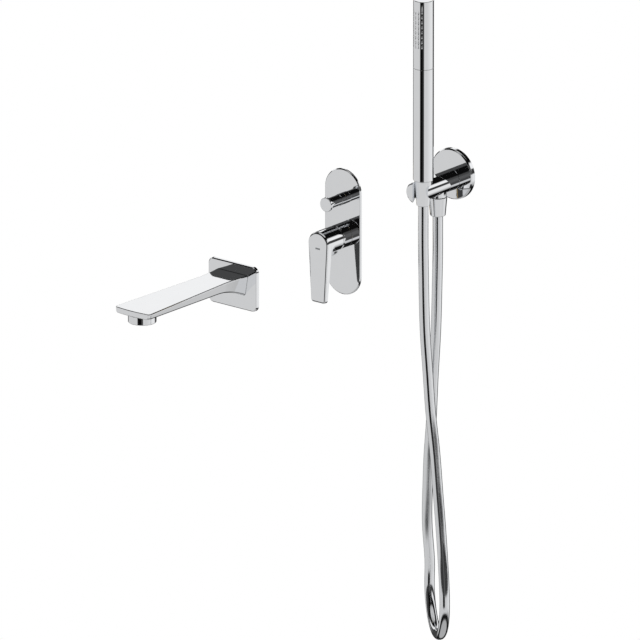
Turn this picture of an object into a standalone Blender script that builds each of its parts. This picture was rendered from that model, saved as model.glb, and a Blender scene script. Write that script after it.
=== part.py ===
"""Wall mounted bath faucet: a bath spout, a built-in mixer with a pull-out diverter, and a shower
outlet elbow that holds a stick hand shower on its hose. All three stand on one wall.

The wall's face is the plane y = 0. The room is at -y, +x is to the right as one faces the wall and
+z is up. The origin is on the wall's face, midway between the lever's axis and the diverter's axis.
Lengths are metres. "Out" is the distance from the wall's face into the room.
"""

import math

import bmesh
import bpy
import numpy as np
from mathutils import Matrix, Vector

GAP = 0.0003  # between surfaces that touch on the real object
BEYOND = 0.002  # how far a cutter runs past the face it opens
FINE = 32  # sides of the large round pieces
COARSE = 16  # sides of the small and the hidden round pieces
NEARLY = 0.999  # keeps two arcs of a full round end from sharing a point

# Standard fittings
HALF_INCH_RADIUS = 0.0104  # G1/2 male thread
HOLE_CLEARANCE = 0.0005  # round a thread that passes through a plate
THREAD_WATERWAY = 0.0065
GROOVE_DEPTH = 0.0014
GROOVE_WIDTH = 0.0024
SCREW_RADIUS = 0.0022
SCREW_LENGTH = 0.006

# Seals behind the wall plates
GASKET_INSET = 0.004
GASKET_WIDTH = 0.005
GASKET_DEPTH = 0.0015

# Mixer
VALVE_SPACING = 0.0484
LEVER_AXIS = -VALVE_SPACING / 2
DIVERTER_AXIS = VALVE_SPACING / 2
MIXER_PLATE_WIDTH = 0.058
MIXER_PLATE_HEIGHT = 0.166
MIXER_PLATE_CENTRE = -0.0195
MIXER_PLATE_THICKNESS = 0.003
MIXER_PLATE_BEVEL = 0.0012

NECK_RADIUS = 0.0146
NECK_REACH = 0.0146
NECK_WALL = 0.0018
SLEEVE_WALL = 0.0011
SLEEVE_REACH = 0.0186
SLEEVE_LIP = 0.0014
SLEEVE_CHAMFER = 0.0012
SLEEVE_MOUTH_RADIUS = 0.0112

CARTRIDGE_FRONT = 0.0090
CARTRIDGE_LENGTH = 0.0370
CARTRIDGE_WALL = 0.0020
CARTRIDGE_FLOOR = 0.0100
CARTRIDGE_NUT_LENGTH = 0.0050
DISC_THICKNESS = 0.0032
MOVING_DISC_RADIUS = 0.0085
PORT_RADIUS = 0.0022
PORT_CIRCLE = 0.0066

LEVER_PIVOT_OUT = 0.0040
LEVER_LIFT = math.radians(25)
STEM_WIDTH = 0.0060
STEM_TAIL = 0.0080
STEM_REACH = 0.0420
PIN_RADIUS = 0.0012

HUB_GAP = 0.0014
HUB_RADIUS = 0.0160
HUB_WALL = 0.0013
HUB_CAVITY = 0.0080
LEVER_FACE = 0.0525
LEVER_REACH = 0.0780
LEVER_TIP_WIDTH = 0.0232
LEVER_TIP_BOW = 0.0015
LEVER_TIP_THICKNESS = 0.0058
LEVER_NECK_THICKNESS = 0.0095
LEVER_NECK_REACH = 0.0300
LEVER_FILLET_THICKNESS = 0.0070
LEVER_EDGE = 0.0008
LEVER_FILLET = [(0.0045, 1.0), (0.0015, 1.1), (0, 1.3)]  # behind the neck, and reach in hub radii
LEVER_NECK_SLOPE = 0.0008
LEVER_SCREW_OUT = 0.0340
MARK_WIDTH = 0.0070
MARK_HEIGHT = 0.0018
MARK_DEPTH = 0.0006
MARK_DROP = 0.0055

DIVERTER_TRAVEL = 0.0090
DIVERTER_SLEEVE_RADIUS = 0.0075
DIVERTER_SLEEVE_REACH = 0.0115
DIVERTER_CHAMBER_RADIUS = 0.0083
DIVERTER_CHAMBER_END = 0.0600
BONNET_BACK = 0.0160
BONNET_NECK_RADIUS = 0.0060
KNOB_RADIUS = 0.0070
KNOB_REACH = 0.0365
KNOB_CAP_RADIUS = 0.0092
KNOB_CAP_THICKNESS = 0.0030
KNOB_EDGE = 0.0006
ROD_RADIUS = 0.0025
ROD_REACH = 0.0260
SPOOL_RADIUS = 0.0062
SPOOL_LAND = 0.0040
SPOOL_BACK = 0.0590

BODY_FRONT = -0.0120
BOSS_FRONT = -0.0060  # the diverter's boss stops this far behind the wall's face
PIPE_END = -0.0240  # where the spout's and the outlet's nipples end in the wall
BODY_DEPTH = 0.0520
BODY_WIDTH = 0.0500
BODY_HEIGHT = 0.1040
BODY_EDGE = 0.0040
STUB_LENGTH = 0.0120
INLET_OUT = -0.0385
SHOWER_OUTLET_OUT = -0.0245
BATH_OUTLET_OUT = -0.0505
MIXED_BORE_RADIUS = 0.0027
BATH_BORE_RADIUS = 0.0033

# Spout
SPOUT_X = -0.1775
SPOUT_Z = -0.1262
SPOUT_PLATE_WIDTH = 0.0790
SPOUT_PLATE_HEIGHT = 0.0590
SPOUT_PLATE_CORNER = 0.0080
SPOUT_PLATE_THICKNESS = 0.0050
SPOUT_PLATE_BEVEL = 0.0012
SPOUT_TOP_DROP = 0.0127
SPOUT_REACH = 0.2065
SPOUT_ROOT_WIDTH = 0.0510
SPOUT_WAIST_WIDTH = 0.0435
SPOUT_TIP_WIDTH = 0.0580
SPOUT_FLARE = 0.0380
SPOUT_ROOT_HEIGHT = 0.0270
SPOUT_HEEL_HEIGHT = 0.0126
SPOUT_TIP_HEIGHT = 0.0076
SPOUT_FILLET = 0.0600
SPOUT_DRAFT = math.radians(10)
SPOUT_TIP_CORNER = 0.0050
SPOUT_TIP_BOW = 0.0025
SPOUT_EDGE = 0.0008
SPOUT_BOTTOM_EDGE = 0.0025
SPIGOT_RADIUS = 0.0075
SPIGOT_LENGTH = 0.0130
SPIGOT_WATERWAY = 0.0050
SPIGOT_DROP = 0.0108
WATERWAY_WIDTH = 0.0160
WATERWAY_HEIGHT = 0.0040
WATERWAY_DROP = 0.0022
AERATOR_SETBACK = 0.0225
AERATOR_RADIUS = 0.0180
AERATOR_HEIGHT = 0.0105
AERATOR_THREAD_RADIUS = 0.0127
AERATOR_THREAD_LENGTH = 0.0035
AERATOR_BORE_RADIUS = 0.0105
AERATOR_LIP = 0.0010
AERATOR_SEAT = 0.97  # the seat under the spout, as a share of the collar's radius
AERATOR_SEAT_TOP = 0.0032
AERATOR_WASHER = 0.0014
AERATOR_INSERT_HEIGHT = 0.0109
STREAM_HOLE_RADIUS = 0.0014
STREAM_HOLE_CIRCLE = 0.0060

# Shower outlet and its holder
OUTLET_X = 0.1785
OUTLET_Z = 0.0940
OUTLET_PLATE_RADIUS = 0.0330
OUTLET_PLATE_THICKNESS = 0.0070
OUTLET_PLATE_BEVEL = 0.0015
ARM_DROP = 0.0070
ARM_RADIUS = 0.0135
ARM_REACH = 0.0810
ARM_DOME = 0.0015
ARM_FLAT = 0.0006
ARM_COLLAR = 0.92  # the domed end's shoulder, as a share of the radius
NIPPLE_DEPTH = 0.0160
HOSE_OUT = 0.0335
HANDSET_OUT = 0.0625
BOSS_RADIUS = 0.0112
BOSS_DROP = ARM_RADIUS + 0.0017  # the boss ends just below the bar
CRADLE_TURN = math.radians(22)
CRADLE_MOUTH = 0.0190

# Hose and its nuts
HOSE_RADIUS = 0.0065
HOSE_PLAY = 0.0004  # between the hose and the mouth of its nut
HOSE_NUT_TOP_RADIUS = 0.0120
HOSE_NUT_BOTTOM_RADIUS = 0.0098
HOSE_NUT_LENGTH = 0.0245
CONE_TOP_RADIUS = 0.0114
CONE_BOTTOM_RADIUS = 0.0086
CONE_LENGTH = 0.0330
NIPPLE_RADIUS = 0.0094
NIPPLE_WATERWAY = 0.0062
NIPPLE_LENGTH = 0.0100
WASHER_THICKNESS = 0.0020
FERRULE_FLANGE = 0.0020
FERRULE_WATERWAY = 0.0035
NUT_LIP_COVER = 0.0035
CHECK_VALVE_LENGTH = 0.0120
CHECK_VALVE_WALL = 0.0020

# Hand shower
HANDSET_RADIUS = 0.0130
HANDSET_LENGTH = 0.2365
HANDSET_HEAD_LENGTH = 0.0890
HANDSET_TUBE_BORE = 0.0080
HEAD_BORE = 0.0103
HEAD_CROWN = 0.0030
HANDSET_EDGE = 0.0006
COLLAR_LENGTH = 0.0100
NOZZLE_ROWS = 8
NOZZLE_ANGLES = (-30, -10, 10, 30)
NOZZLE_PITCH = 0.0065
NOZZLE_FIRST = 0.0150
NOZZLE_RADIUS = 0.0008
NOZZLE_HOLE_RADIUS = 0.0011
NOZZLE_PROUD = 0.0003
NOZZLE_BED = 0.0009
NOZZLE_BED_HALF_ANGLE = math.radians(44)

# The hose's centre line, from the hand shower's cone nut to the outlet's nut, as distances from
# the middle of the outlet's wall plate. It hangs in one loop that is twisted half round.
HOSE_ROUTE = [
    (0.000, -0.0625, -0.023),
    (0.000, -0.0625, -0.044),
    (0.000, -0.0625, -0.074),
    (0.001, -0.063, -0.109),
    (0.002, -0.063, -0.154),
    (0.004, -0.063, -0.199),
    (0.008, -0.063, -0.244),
    (0.013, -0.063, -0.299),
    (0.020, -0.064, -0.344),
    (0.028, -0.067, -0.399),
    (0.035, -0.070, -0.444),
    (0.042, -0.074, -0.489),
    (0.0489, -0.0795, -0.5508),
    (0.0418, -0.0733, -0.5730),
    (0.0274, -0.0609, -0.5892),
    (0.0090, -0.0450, -0.5950),
    (-0.0094, -0.0291, -0.5892),
    (-0.0238, -0.0167, -0.5730),
    (-0.0309, -0.0105, -0.5508),
    (-0.031, -0.010, -0.519),
    (-0.031, -0.013, -0.489),
    (-0.029, -0.018, -0.454),
    (-0.025, -0.022, -0.419),
    (-0.019, -0.027, -0.369),
    (-0.012, -0.031, -0.322),
    (-0.007, -0.033, -0.259),
    (-0.003, -0.0335, -0.204),
    (-0.001, -0.0335, -0.144),
    (0.000, -0.0335, -0.094),
    (0.000, -0.0335, -0.064),
    (0.000, -0.0335, -0.0435),
]
HOSE_POINT_SPACING = 0.028

# Which way a piece's own Z axis faces
OUTWARD = Matrix.Rotation(math.radians(90), 4, "X")  # into the room, own Y upwards
UPWARD = Matrix.Identity(4)
DOWNWARD = Matrix.Rotation(math.radians(180), 4, "X")
RIGHTWARD = Matrix.Rotation(math.radians(90), 4, "Y")
LEFTWARD = Matrix.Rotation(math.radians(-90), 4, "Y")

# name: base colour, roughness, metallic
FINISHES = {
    "chrome": ((0.80, 0.81, 0.83), 0.06, 1.0),
    "brass": ((0.72, 0.55, 0.28), 0.32, 1.0),
    "steel": ((0.62, 0.62, 0.63), 0.28, 1.0),
    "hose_silver": ((0.74, 0.75, 0.77), 0.16, 1.0),
    "rubber": ((0.03, 0.03, 0.03), 0.65, 0.0),
    "nozzle_grey": ((0.42, 0.43, 0.45), 0.55, 0.0),
    "white_plastic": ((0.82, 0.82, 0.80), 0.40, 0.0),
    "ceramic": ((0.88, 0.86, 0.82), 0.22, 0.0),
    "mark_grey": ((0.16, 0.17, 0.18), 0.45, 0.0),
}


def clear_scene():
    """Removes whatever the scene held before."""
    for obj in list(bpy.context.scene.objects):
        bpy.data.objects.remove(obj, do_unlink=True)


def finish_material(name):
    """The Principled material of a finish, made when it is first asked for."""
    if name in bpy.data.materials:
        return bpy.data.materials[name]
    colour, roughness, metallic = FINISHES[name]
    made = bpy.data.materials.new(name)
    made.use_nodes = True
    shader = made.node_tree.nodes["Principled BSDF"]
    shader.inputs["Base Color"].default_value = (*colour, 1.0)
    shader.inputs["Roughness"].default_value = roughness
    shader.inputs["Metallic"].default_value = metallic
    return made


def add_object(name, data, finish, parent, at, facing):
    """Puts a mesh or curve in the scene. A piece with no finish is a cutter, which isn't rendered."""
    obj = bpy.data.objects.new(name, data)
    bpy.context.scene.collection.objects.link(obj)
    obj.parent = parent
    obj.matrix_local = Matrix.Translation(at) @ facing
    if finish is None:
        obj.hide_render = True
        obj.display_type = "WIRE"
    else:
        data.materials.append(finish_material(finish))
    return obj


def mesh_object(name, shape, finish, parent, at, facing):
    """Turns a closed bmesh into an object, with its faces pointing out and round sides smooth."""
    bmesh.ops.remove_doubles(shape, verts=shape.verts, dist=1e-6)
    bmesh.ops.recalc_face_normals(shape, faces=shape.faces)
    mesh = bpy.data.meshes.new(name)
    shape.to_mesh(mesh)
    shape.free()
    mesh.shade_smooth()
    mesh.set_sharp_from_angle(angle=math.radians(28))
    return add_object(name, mesh, finish, parent, at, facing)


def empty(name, at, parent=None):
    """A marker that carries a group, or that stands on a joint's axis."""
    marker = bpy.data.objects.new(name, None)
    bpy.context.scene.collection.objects.link(marker)
    marker.parent = parent
    marker.location = at
    return marker


def is_flat_centre(point):
    """Whether a point lies on the Z axis, in the middle of a flat round end."""
    if math.hypot(point.co.x, point.co.y) > 1e-6:
        return False
    return all(abs(edge.other_vert(point).co.z - point.co.z) < 1e-6 for edge in point.link_edges)


def turned(name, finish, profile, parent, at=(0, 0, 0), facing=OUTWARD, sides=COARSE):
    """A solid of revolution: a closed outline of (radius, height) points spun about the Z axis."""
    shape = bmesh.new()
    points = [shape.verts.new((radius, 0, height)) for radius, height in profile]
    edges = []
    for start, end in zip(points, points[1:] + points[:1]):
        if start.co.x > 0 or end.co.x > 0:
            edges.append(shape.edges.new((start, end)))
    bmesh.ops.spin(
        shape,
        geom=points + edges,
        cent=(0, 0, 0),
        axis=(0, 0, 1),
        angle=math.tau,
        steps=sides,
        use_merge=True,
    )
    bmesh.ops.remove_doubles(shape, verts=shape.verts, dist=1e-6)
    bmesh.ops.dissolve_verts(shape, verts=[point for point in shape.verts if is_flat_centre(point)])
    return mesh_object(name, shape, finish, parent, at, facing)


def rod(name, finish, radius, start, end, parent, at=(0, 0, 0), facing=OUTWARD, sides=COARSE):
    """A solid cylinder between two distances along its axis."""
    profile = [(0, start), (radius, start), (radius, end), (0, end)]
    return turned(name, finish, profile, parent, at, facing, sides)


def tube(name, finish, outer, inner, start, end, parent, at=(0, 0, 0), facing=OUTWARD, sides=COARSE):
    """A cylinder with a bore through it."""
    profile = [(inner, start), (outer, start), (outer, end), (inner, end)]
    return turned(name, finish, profile, parent, at, facing, sides)


def lofted(name, finish, loops, parent, at=(0, 0, 0), facing=OUTWARD, ring=False):
    """A skin over loops of equal length, capped at both ends, or closed on itself as a ring."""
    shape = bmesh.new()
    rows = [[shape.verts.new(point) for point in loop] for loop in loops]
    pairs = list(zip(rows, rows[1:]))
    if ring:
        pairs.append((rows[-1], rows[0]))
    else:
        shape.faces.new(rows[0])
        shape.faces.new(rows[-1])
    for lower, upper in pairs:
        for index, corner in enumerate(lower):
            after = (index + 1) % len(lower)
            shape.faces.new((corner, lower[after], upper[after], upper[index]))
    return mesh_object(name, shape, finish, parent, at, facing)


def block(name, finish, low, high, parent, at=(0, 0, 0), facing=UPWARD):
    """A box between its lowest and highest corners."""
    outline = [(low[0], low[1]), (high[0], low[1]), (high[0], high[1]), (low[0], high[1])]
    loops = [at_height(outline, z) for z in (low[2], high[2])]
    return lofted(name, finish, loops, parent, at, facing)


def change(target, operation, others):
    """Adds a Boolean modifier for each of the others, which become cutters."""
    for other in others:
        other.hide_render = True
        other.display_type = "WIRE"
        modifier = target.modifiers.new(other.name, "BOOLEAN")
        modifier.operation = operation
        modifier.object = other


def cut(target, *cutters):
    change(target, "DIFFERENCE", cutters)


def join(target, *others):
    change(target, "UNION", others)


def rounded(corners, radii, steps):
    """A polygon's outline with an arc of its own radius at each corner, in `steps` pieces."""
    outline = []
    for index, (corner, radius) in enumerate(zip(corners, radii)):
        corner = Vector(corner)
        before = (Vector(corners[index - 1]) - corner).normalized()
        after = (Vector(corners[(index + 1) % len(corners)]) - corner).normalized()
        half = before.angle(after) / 2
        centre = corner + (before + after).normalized() * (radius / math.sin(half))
        start = corner + before * (radius / math.tan(half)) - centre
        turn = math.pi - 2 * half
        if before.x * after.y - before.y * after.x > 0:
            turn = -turn
        for step in range(steps + 1):
            outline.append(centre + Matrix.Rotation(turn * step / steps, 2) @ start)
    return outline


def plate_outline(width, height, corner, inset, steps):
    """A rounded rectangle about the centre, drawn in by `inset` on every side."""
    x = width / 2 - inset
    y = height / 2 - inset
    radius = max(corner - inset, inset / 2) * NEARLY
    return rounded([(x, -y), (x, y), (-x, y), (-x, -y)], [radius] * 4, steps)


def at_height(outline, z):
    """The loop of an outline at a distance z along its axis."""
    return [(point[0], point[1], z) for point in outline]


def wall_plate(name, gasket, parent, size, corner, thickness, bevel, steps, at=(0, 0, 0)):
    """A cover plate with a bevelled front edge, and the ring seal in the groove in its back."""
    width, height = size
    whole = plate_outline(width, height, corner, 0, steps)
    drawn_in = plate_outline(width, height, corner, bevel, steps)
    loops = [at_height(whole, 0), at_height(whole, thickness - bevel), at_height(drawn_in, thickness)]
    plate = lofted(name, "chrome", loops, parent, at)

    def seal_ring(ring_name, finish, clearance, back, front):
        outer = plate_outline(width, height, corner, GASKET_INSET + clearance, steps)
        inset = GASKET_INSET + GASKET_WIDTH - clearance
        inner = plate_outline(width, height, corner, inset, steps)
        section = [(outer, back), (outer, front), (inner, front), (inner, back)]
        ring_loops = [at_height(outline, z) for outline, z in section]
        return lofted(ring_name, finish, ring_loops, parent, at, ring=True)

    cut(plate, seal_ring(name + "_groove", None, 0, -BEYOND, GASKET_DEPTH))
    seal_ring(gasket, "rubber", GAP, 0, GASKET_DEPTH - GAP)
    return plate


def o_ring(name, parent, outer, inner, middle, at=(0, 0, 0), facing=OUTWARD):
    """A seal of four-sided section, centred on `middle` along its axis."""
    half = (outer - inner) / 2
    mean = (outer + inner) / 2
    profile = []
    for corner in range(4):
        angle = math.radians(90 * corner)
        profile.append((mean + half * math.cos(angle), middle + half * math.sin(angle)))
    return turned(name, "rubber", profile, parent, at, facing)


def grooved(start, end, radius, bore, middle):
    """A pipe's profile with a seal groove round its outside."""
    floor = radius - GROOVE_DEPTH
    low = middle - GROOVE_WIDTH / 2
    high = middle + GROOVE_WIDTH / 2
    groove = [(radius, low), (floor, low), (floor, high), (radius, high)]
    return [(bore, start), (radius, start), *groove, (radius, end), (bore, end)]


# ---------------------------------------------------------------- mixer


def mixer_plate(group):
    """The stadium-shaped plate, with a hole for the cartridge's neck and one for the diverter's."""
    plate = wall_plate(
        "mixer_wall_plate",
        "mixer_gasket",
        group,
        (MIXER_PLATE_WIDTH, MIXER_PLATE_HEIGHT),
        MIXER_PLATE_WIDTH / 2,
        MIXER_PLATE_THICKNESS,
        MIXER_PLATE_BEVEL,
        8,
        at=(0, 0, MIXER_PLATE_CENTRE),
    )
    openings = [
        ("lever", NECK_RADIUS + HOLE_CLEARANCE, LEVER_AXIS),
        ("diverter", BONNET_NECK_RADIUS + HOLE_CLEARANCE, DIVERTER_AXIS),
    ]
    for name, radius, height in openings:
        hole = rod(
            name + "_hole",
            None,
            radius,
            -BEYOND,
            MIXER_PLATE_THICKNESS + BEYOND,
            group,
            (0, 0, height),
            sides=FINE,
        )
        cut(plate, hole)


def mixer_body(group):
    """The brass body in the wall: two inlets at the sides, the shower outlet on top and the bath
    outlet below, with the bores that join them through the cartridge and the diverter."""
    half_width = BODY_WIDTH / 2
    half_height = BODY_HEIGHT / 2
    back = BODY_FRONT - BODY_DEPTH
    outline = plate_outline(BODY_WIDTH, BODY_HEIGHT, BODY_EDGE, 0, 3)
    body = lofted(
        "mixer_body", "brass", [at_height(outline, BODY_FRONT), at_height(outline, back)], group
    )
    lever = (0, 0, LEVER_AXIS)
    diverter = (0, 0, DIVERTER_AXIS)
    side = (0, -INLET_OUT, LEVER_AXIS)
    middle = (0, -INLET_OUT, 0)
    above = (0, -SHOWER_OUTLET_OUT, 0)
    below = (0, -BATH_OUTLET_OUT, 0)
    inside = BODY_FRONT - BEYOND
    sideways = (HALF_INCH_RADIUS, half_width - BEYOND, half_width + STUB_LENGTH)
    upright = (HALF_INCH_RADIUS, half_height - BEYOND, half_height + STUB_LENGTH)
    join(
        body,
        rod("cartridge_neck", None, NECK_RADIUS, inside, NECK_REACH, group, lever, sides=FINE),
        rod("diverter_neck", None, BOSS_RADIUS, inside, BOSS_FRONT, group, diverter),
        rod("cold_stub", None, *sideways, group, side, RIGHTWARD),
        rod("hot_stub", None, *sideways, group, side, LEFTWARD),
        rod("shower_stub", None, *upright, group, above, UPWARD),
        rod("bath_stub", None, *upright, group, below, DOWNWARD),
    )
    floor = CARTRIDGE_FRONT - CARTRIDGE_LENGTH - GAP
    chamber = (NECK_RADIUS - NECK_WALL, floor, NECK_REACH + BEYOND)
    sideways = (THREAD_WATERWAY, PORT_CIRCLE - PORT_RADIUS - GAP, half_width + STUB_LENGTH + BEYOND)
    upright_end = half_height + STUB_LENGTH + BEYOND
    mixed = (MIXED_BORE_RADIUS, LEVER_AXIS + PORT_CIRCLE - BEYOND, DIVERTER_AXIS - BEYOND)
    port = (PORT_RADIUS, INLET_OUT - GAP, floor + BEYOND)
    bath_mouth = half_height - BEYOND
    cut(
        body,
        rod("cartridge_bore", None, *chamber, group, lever, sides=FINE),
        rod("diverter_bore", None, DIVERTER_CHAMBER_RADIUS, -DIVERTER_CHAMBER_END, 0, group, diverter),
        rod("cold_bore", None, *sideways, group, side, RIGHTWARD),
        rod("hot_bore", None, *sideways, group, side, LEFTWARD),
        rod("cold_port", None, *port, group, (PORT_CIRCLE, 0, LEVER_AXIS), sides=12),
        rod("hot_port", None, *port, group, (-PORT_CIRCLE, 0, LEVER_AXIS), sides=12),
        rod("mixed_port", None, *port, group, (0, 0, LEVER_AXIS + PORT_CIRCLE), sides=12),
        rod("mixed_bore", None, *mixed, group, middle, UPWARD, 16),
        rod("shower_bore", None, THREAD_WATERWAY, DIVERTER_AXIS + BEYOND, upright_end, group, above, UPWARD),
        rod("bath_bore", None, BATH_BORE_RADIUS, -DIVERTER_AXIS, half_height, group, below, DOWNWARD, 16),
        rod("bath_mouth", None, THREAD_WATERWAY, bath_mouth, upright_end, group, below, DOWNWARD),
    )


def cartridge(group, spindle):
    """The mixing cartridge in its neck: housing, two ceramic discs, turning carrier and ring nut."""
    radius = NECK_RADIUS - NECK_WALL - GAP
    cup = radius - CARTRIDGE_WALL
    back = CARTRIDGE_FRONT - CARTRIDGE_LENGTH
    floor = back + CARTRIDGE_FLOOR
    at = (0, 0, LEVER_AXIS)
    profile = [(0, back), (radius, back), (radius, CARTRIDGE_FRONT), (cup, CARTRIDGE_FRONT)]
    housing = turned("cartridge_body", "white_plastic", [*profile, (cup, floor), (0, floor)], group, at)
    disc_back = floor + GAP
    disc_front = disc_back + DISC_THICKNESS
    fixed = rod("cartridge_fixed_disc", "ceramic", cup - GAP, disc_back, disc_front, group, at)
    for name, x, z in [("cold", PORT_CIRCLE, 0), ("hot", -PORT_CIRCLE, 0), ("mixed", 0, PORT_CIRCLE)]:
        place = (x, 0, LEVER_AXIS + z)
        ends = (back - BEYOND, disc_front + BEYOND)
        cut(housing, rod(name + "_way", None, PORT_RADIUS, *ends, group, place, sides=12))
        cut(fixed, rod(name + "_slit", None, PORT_RADIUS, *ends, group, place, sides=12))
    moving_back = disc_front + GAP
    moving_front = moving_back + DISC_THICKNESS
    rod("cartridge_moving_disc", "ceramic", MOVING_DISC_RADIUS, moving_back, moving_front, spindle)

    carrier_back = moving_front + GAP
    carrier_front = CARTRIDGE_FRONT - GAP
    carrier = rod("cartridge_carrier", "white_plastic", cup - GAP, carrier_back, carrier_front, spindle)
    half = STEM_WIDTH / 2
    side = half + GAP
    forward = carrier_front - LEVER_PIVOT_OUT + BEYOND
    rise = forward * math.tan(LEVER_LIFT) + half / math.cos(LEVER_LIFT) + GAP
    tail = STEM_TAIL + GAP
    fall = STEM_TAIL * math.sin(LEVER_LIFT) + half + GAP
    slot_back = -(LEVER_PIVOT_OUT - tail - half * math.sin(LEVER_LIFT))
    slot_low = (-side, -carrier_front - BEYOND, -fall)
    slot = block("carrier_slot", None, slot_low, (side, slot_back, rise), spindle)
    pin_place = (0, -LEVER_PIVOT_OUT, 0)
    reach = cup - GAP
    pin_hole = rod(
        "pin_hole", None, PIN_RADIUS + GAP, -reach - BEYOND, reach + BEYOND, spindle, pin_place, RIGHTWARD, 12
    )
    cut(carrier, slot, pin_hole)
    pin_half = math.sqrt(reach**2 - PIN_RADIUS**2) - GAP
    rod("cartridge_pivot_pin", "steel", PIN_RADIUS, -pin_half, pin_half, spindle, pin_place, RIGHTWARD, 12)

    nut_front = CARTRIDGE_FRONT + GAP + CARTRIDGE_NUT_LENGTH
    tube("cartridge_nut", "brass", radius, cup, CARTRIDGE_FRONT + GAP, nut_front, group, at, sides=FINE)


def cartridge_sleeve(group):
    """The chrome sleeve over the neck, with a lip that hides the ring nut."""
    inner = NECK_RADIUS + GAP
    outer = inner + SLEEVE_WALL
    start = MIXER_PLATE_THICKNESS + GAP
    lip = SLEEVE_REACH - SLEEVE_LIP
    profile = [
        (inner, start),
        (outer, start),
        (outer, SLEEVE_REACH - SLEEVE_CHAMFER),
        (outer - SLEEVE_CHAMFER, SLEEVE_REACH),
        (SLEEVE_MOUTH_RADIUS, SLEEVE_REACH),
        (SLEEVE_MOUTH_RADIUS, lip),
        (inner, lip),
    ]
    turned("cartridge_sleeve", "chrome", profile, group, (0, 0, LEVER_AXIS), sides=FINE)


def lever_outline(reach, inset):
    """The lever seen from the front: a round head that narrows down to a tip at `reach`."""
    radius = HUB_RADIUS - inset
    head = []
    for step in range(17):
        angle = math.pi * step / 16
        head.append((radius * math.cos(angle), radius * math.sin(angle)))
    steps = 12
    lower = []
    share = (reach - HUB_RADIUS) / (LEVER_REACH - HUB_RADIUS)
    half_tip = HUB_RADIUS + (LEVER_TIP_WIDTH / 2 - HUB_RADIUS) * share - inset
    for step in range(1, steps):
        angle = math.pi * (1 + step / steps)
        x = math.cos(angle)
        round_end = -radius * math.sqrt(1 - x * x)
        flat_end = -(reach - inset) + LEVER_TIP_BOW * x * x
        if share <= 0:
            lower.append((radius * x, round_end))
        elif step in (1, steps - 1):
            corner = flat_end + (reach - HUB_RADIUS) * 0.02 + LEVER_TIP_BOW
            lower.append((math.copysign(half_tip, x), corner))
        else:
            lower.append((half_tip * x * (1 - inset), flat_end))
    return head + lower


def lever(pivot):
    """The handle: a round hub with the blade hanging from its front, and the set screw under it."""
    back = SLEEVE_REACH + HUB_GAP
    start = LEVER_PIVOT_OUT
    neck_front = LEVER_FACE - LEVER_NECK_THICKNESS
    levels = [
        (back, HUB_RADIUS, 0),
        *[(neck_front - behind, HUB_RADIUS * share, 0) for behind, share in LEVER_FILLET],
        (LEVER_FACE - LEVER_FILLET_THICKNESS - LEVER_NECK_SLOPE, LEVER_NECK_REACH, 0),
        (LEVER_FACE - LEVER_TIP_THICKNESS, LEVER_REACH, 0),
        (LEVER_FACE - LEVER_EDGE, LEVER_REACH, 0),
        (LEVER_FACE, LEVER_REACH, LEVER_EDGE),
    ]
    loops = [at_height(lever_outline(reach, inset), out - start) for out, reach, inset in levels]
    handle = lofted("lever_handle", "chrome", loops, pivot)
    cavity_end = back + HUB_CAVITY - start
    half = STEM_WIDTH / 2 + GAP
    socket_end = STEM_REACH + GAP - start
    cavity = rod(
        "hub_cavity", None, HUB_RADIUS - HUB_WALL, back - start - BEYOND, cavity_end, pivot, sides=FINE
    )
    socket = block("stem_socket", None, (-half, -half, cavity_end - BEYOND), (half, half, socket_end), pivot,
                   facing=OUTWARD)
    screw_place = (0, start - LEVER_SCREW_OUT, 0)
    screw_start = STEM_WIDTH / 2 + GAP
    screw_hole = rod(
        "lever_screw_hole",
        None,
        SCREW_RADIUS + GAP,
        screw_start - BEYOND / 2,
        HUB_RADIUS + BEYOND,
        pivot,
        screw_place,
        DOWNWARD,
        12,
    )
    mark_front = LEVER_FACE - start
    mark_outline = plate_outline(MARK_WIDTH, MARK_HEIGHT, MARK_HEIGHT / 2, 0, 3)
    recess_outline = plate_outline(
        MARK_WIDTH + 2 * GAP, MARK_HEIGHT + 2 * GAP, MARK_HEIGHT / 2 + GAP, 0, 3
    )
    mark_place = (0, 0, -MARK_DROP)
    recess_levels = (mark_front - MARK_DEPTH - GAP, mark_front + BEYOND)
    recess = lofted(
        "mark_recess",
        None,
        [at_height(recess_outline, out) for out in recess_levels],
        pivot,
        mark_place,
    )
    cut(handle, cavity, socket, screw_hole, recess)
    rod("lever_set_screw", "steel", SCREW_RADIUS, screw_start, screw_start + SCREW_LENGTH, pivot,
        screw_place, DOWNWARD, 12)
    lofted(
        "lever_indicator",
        "mark_grey",
        [at_height(mark_outline, mark_front - MARK_DEPTH), at_height(mark_outline, mark_front)],
        pivot,
        mark_place,
    )
    half = STEM_WIDTH / 2
    stem = block("cartridge_stem", "brass", (-half, -half, -STEM_TAIL), (half, half, STEM_REACH - start),
                 pivot, facing=OUTWARD)
    cut(stem, rod("stem_pin_hole", None, PIN_RADIUS + GAP, -half - BEYOND, half + BEYOND, pivot,
                  facing=RIGHTWARD, sides=12))


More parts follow.
